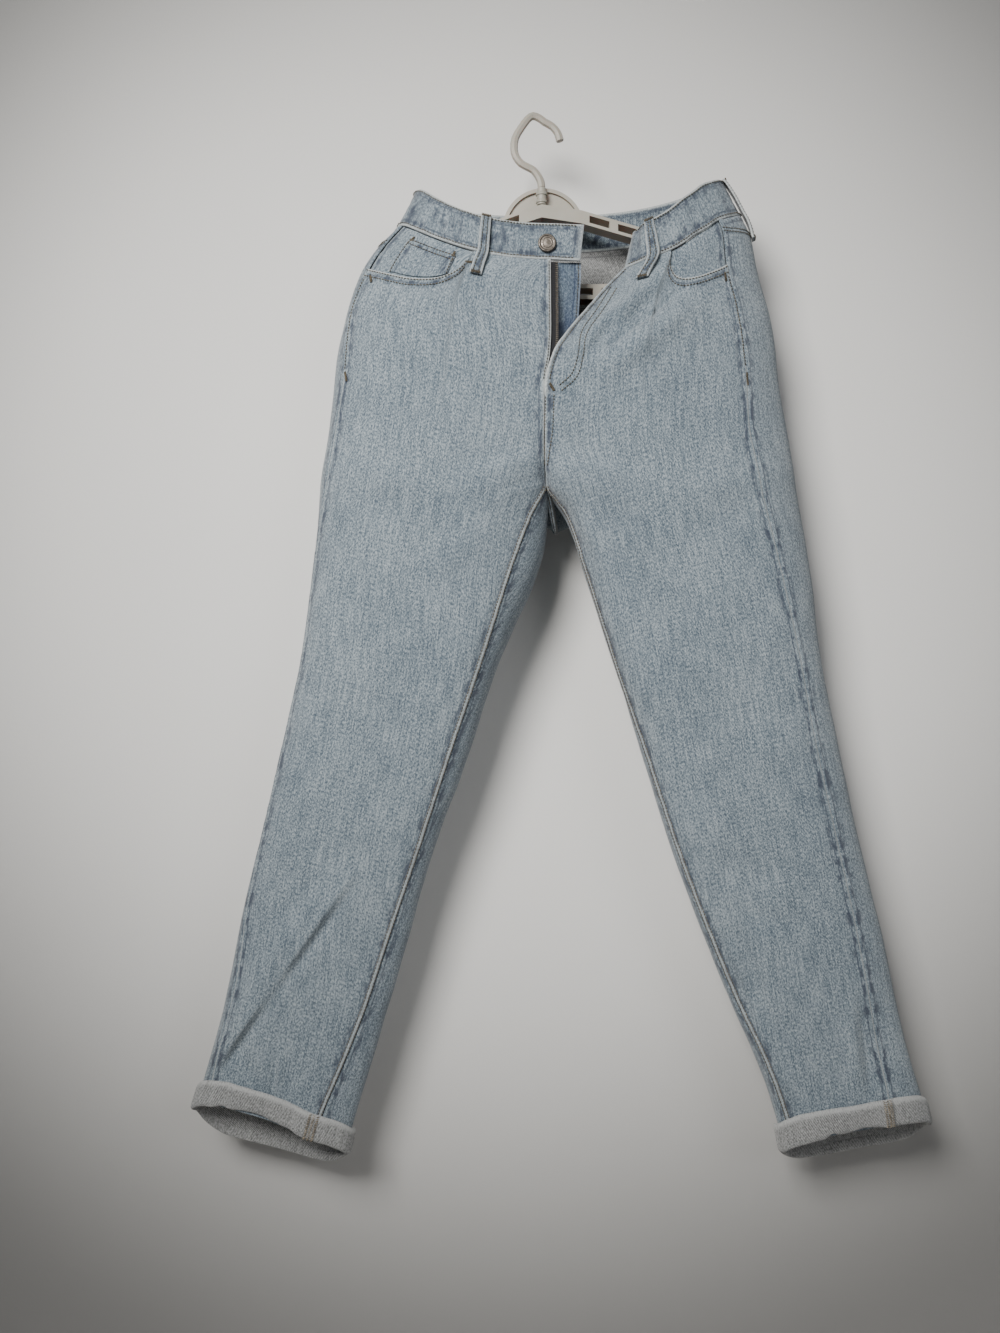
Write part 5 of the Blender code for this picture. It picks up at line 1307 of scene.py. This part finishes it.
def build_looks():
    denim_look("denim", (0.062, 0.088, 0.118), (0.168, 0.212, 0.246), (0.365, 0.415, 0.445),
               (0.025, 0.035, 0.062), (0.56, 0.59, 0.58))
    denim_look("reverse", (0.085, 0.088, 0.09), (0.225, 0.229, 0.228), (0.43, 0.435, 0.43), (0.12, 0.125, 0.135),
               (0.42, 0.425, 0.42), mottles=0.2, warp=-1.0, twill=0.9)
    denim_look("shield", (0.040, 0.060, 0.090), (0.095, 0.132, 0.175), (0.21, 0.26, 0.32), (0.007, 0.018, 0.060),
               (0.26, 0.31, 0.37), mottles=0.5)

    tape = Look("tape", (0.012, 0.012, 0.014))
    cloth = tape.node("ShaderNodeAttribute", attribute_name="cloth").outputs["Vector"]
    ribs = tape.node("ShaderNodeTexWave", {"Vector": cloth, "Scale": 0.55, "Distortion": 0.4}, bands_direction="X")
    fuzz = tape.noise(cloth, 1.1, 2.0)
    tape.finish(tape.ramp(fuzz, ((0.3, (0.008, 0.008, 0.010)), (0.7, (0.030, 0.030, 0.034)))), 0.85,
                ribs.outputs["Fac"], 0.0003)

    for name, dark, light in (("thread", (0.030, 0.028, 0.024), (0.135, 0.115, 0.080)),
                              ("bartack", (0.022, 0.017, 0.010), (0.110, 0.082, 0.045)),
                              ("overlock", (0.060, 0.042, 0.025), (0.42, 0.36, 0.27))):
        thread = Look(name, light)
        spot = thread.node("ShaderNodeTexCoord").outputs["Object"]
        ply = thread.noise(spot, 900.0, 2.0)
        shade = thread.noise(spot, 160.0, 1.0)
        tone = thread.math("ADD", thread.math("MULTIPLY", ply, 0.6), thread.math("MULTIPLY", shade, 0.4))
        thread.finish(thread.ramp(tone, ((0.38, dark), (0.62, light))), 0.75, ply, 0.0002, Sheen_Weight=0.2)

    metal = Look("pewter", (0.2, 0.17, 0.14))
    spot = metal.node("ShaderNodeTexCoord").outputs["Object"]
    patina = metal.noise(spot, 420.0, 4.0, 0.6)
    metal.finish(metal.ramp(patina, ((0.3, (0.07, 0.06, 0.05)), (0.55, (0.16, 0.14, 0.12)),
                                     (0.8, (0.28, 0.25, 0.22)))),
                 metal.span(patina, 0.3, 0.8, 0.55, 0.32), patina, 0.0002, Metallic=0.9)

    brass = Look("brass", (0.25, 0.2, 0.12))
    spot = brass.node("ShaderNodeTexCoord").outputs["Object"]
    tarnish = brass.noise(spot, 600.0, 2.0)
    brass.finish(brass.ramp(tarnish, ((0.3, (0.035, 0.03, 0.025)), (0.7, (0.13, 0.115, 0.095)))), 0.45, Metallic=0.85)

    plastic = Look("plastic", (0.56, 0.53, 0.47))
    spot = plastic.node("ShaderNodeTexCoord").outputs["Object"]
    cloud = plastic.noise(spot, 14.0, 3.0)
    grain = plastic.noise(spot, 1500.0, 2.0)
    tone = plastic.ramp(cloud, ((0.3, (0.33, 0.31, 0.262)), (0.7, (0.41, 0.385, 0.33))))
    dust = plastic.span(plastic.noise(spot, 160.0, 4.0, 0.7), 0.60, 0.74, 0.0, 0.25)
    plastic.finish(plastic.mix(dust, tone, (0.26, 0.24, 0.20)), plastic.span(grain, 0.3, 0.7, 0.36, 0.48), grain,
                   0.00004, Subsurface_Weight=0.05, Specular_IOR_Level=0.5)


def dress_hanger():
    """The hanger's own solids keep their shape and get the moulded plastic."""
    for node in ("hanger_hook", "hanger_stem", "hanger_disc", "hanger_rim", "hanger_frame"):
        thing = bpy.data.objects[node]
        for place in thing.material_slots:
            place.material = LOOKS["plastic"]


def flat_square(name, corners, look):
    mesh = bpy.data.meshes.new(name)
    mesh.from_pydata(corners, [], [(0, 1, 2, 3)])
    mesh.materials.append(LOOKS[look])
    thing = bpy.data.objects.new(name, mesh)
    bpy.context.scene.collection.objects.link(thing)
    return thing


WALL_Y, FLOOR_Z = 0.072, -1.30


def stage_look(name, low, high, seen_from_front):
    look = Look(name, high)
    spot = look.node("ShaderNodeTexCoord").outputs["Object"]
    cloud = look.noise(spot, 1.4, 3.0)
    fine = look.noise(spot, 320.0, 2.0)
    tone = look.math("ADD", look.math("MULTIPLY", cloud, 0.85), look.math("MULTIPLY", fine, 0.15))
    colour = look.ramp(tone, ((0.3, low), (0.7, high)))
    if seen_from_front:
        # Painted shade: the backdrop darkens away from a point behind the jeans, a painted fall-off of the light
        middle = look.node("ShaderNodeVectorMath", {0: spot, 1: (-0.05, WALL_Y, -0.38)}, operation="DISTANCE")
        shade = look.span(middle.outputs["Value"], 0.42, 0.98)
        colour = look.mix(shade, colour, tuple(0.30 * part for part in low))
    look.finish(colour, 0.95, fine, 0.00008)
    if seen_from_front:
        clear = look.node("ShaderNodeBsdfTransparent")
        facing = look.node("ShaderNodeNewGeometry").outputs["Backfacing"]
        mixed = look.node("ShaderNodeMixShader", {0: facing, 1: look.shader.outputs[0], 2: clear.outputs[0]})
        look.tree.links.new(mixed.outputs[0], look.tree.nodes["Material Output"].inputs["Surface"])


def build_stage():
    stage_look("wall", (0.76, 0.75, 0.73), (0.82, 0.81, 0.79), True)
    stage_look("floor", (0.62, 0.60, 0.58), (0.70, 0.68, 0.66), False)
    flat_square("backdrop", [(-3, WALL_Y, FLOOR_Z), (3, WALL_Y, FLOOR_Z), (3, WALL_Y, 1.6), (-3, WALL_Y, 1.6)], "wall")
    flat_square("floor", [(-5, -5, FLOOR_Z), (5, -5, FLOOR_Z), (5, 5, FLOOR_Z), (-5, 5, FLOOR_Z)], "floor")


def aimed(thing, target):
    thing.rotation_euler = (Vector(target) - thing.location).to_track_quat("-Z", "Y").to_euler()


def area_light(name, place, target, size, power, colour=(1, 1, 1), spread=math.pi):
    data = bpy.data.lights.new(name, "AREA")
    data.spread = spread
    data.shape, data.size, data.size_y = "RECTANGLE", size[0], size[1]
    data.energy, data.color = power, colour
    thing = bpy.data.objects.new(name, data)
    thing.location = place
    bpy.context.scene.collection.objects.link(thing)
    aimed(thing, target)


def build_lights():
    world = bpy.data.worlds.new("soft")
    world.use_nodes = True
    world.node_tree.nodes["Background"].inputs[0].default_value = (0.90, 0.94, 1.0, 1)
    world.node_tree.nodes["Background"].inputs[1].default_value = 0.10
    bpy.context.scene.world = world
    area_light("key", (-0.62, -1.4, 0.3), (0.05, 0, -0.5), (0.7, 0.6), 9.6, (1.0, 0.985, 0.955), 1.35)
    area_light("fill", (1.3, -1.9, 0.1), (0.05, 0, -0.45), (1.2, 1.2), 2.2, (0.97, 0.985, 1.0), 1.5)
    area_light("behind", (0.3, 2.6, 0.6), (0, 0, -0.5), (1.8, 1.8), 30)


def build_camera():
    data = bpy.data.cameras.new("camera")
    data.sensor_fit, data.sensor_height, data.sensor_width = "VERTICAL", 36, 36
    data.lens = 18 / (FRAME_H / 2 / -EYE_Y)
    data.clip_start, data.clip_end = 0.01, 50
    thing = bpy.data.objects.new("camera", data)
    thing.location = (EYE_X * MM, EYE_Y * MM, EYE_Z * MM)
    thing.rotation_euler = (math.pi / 2, 0, 0)
    bpy.context.scene.collection.objects.link(thing)
    bpy.context.scene.camera = thing


def main():
    build_looks()
    right, left = Half("right", RIGHT_ROWS), Half("left", LEFT_ROWS)
    for half in (right, left):
        build_front(half)
        build_back(half)
        build_yoke(half)
        build_facing(half)
        build_back_pocket(half)
        build_cuff(half)
    build_coin_pocket(right)
    build_waistband(right, left)
    build_belt_loops(right, left)
    build_fly(right)
    build_sewing()
    build_overlock()
    build_button()
    build_hanger_details()
    dress_hanger()
    build_stage()
    build_lights()
    build_camera()


main()
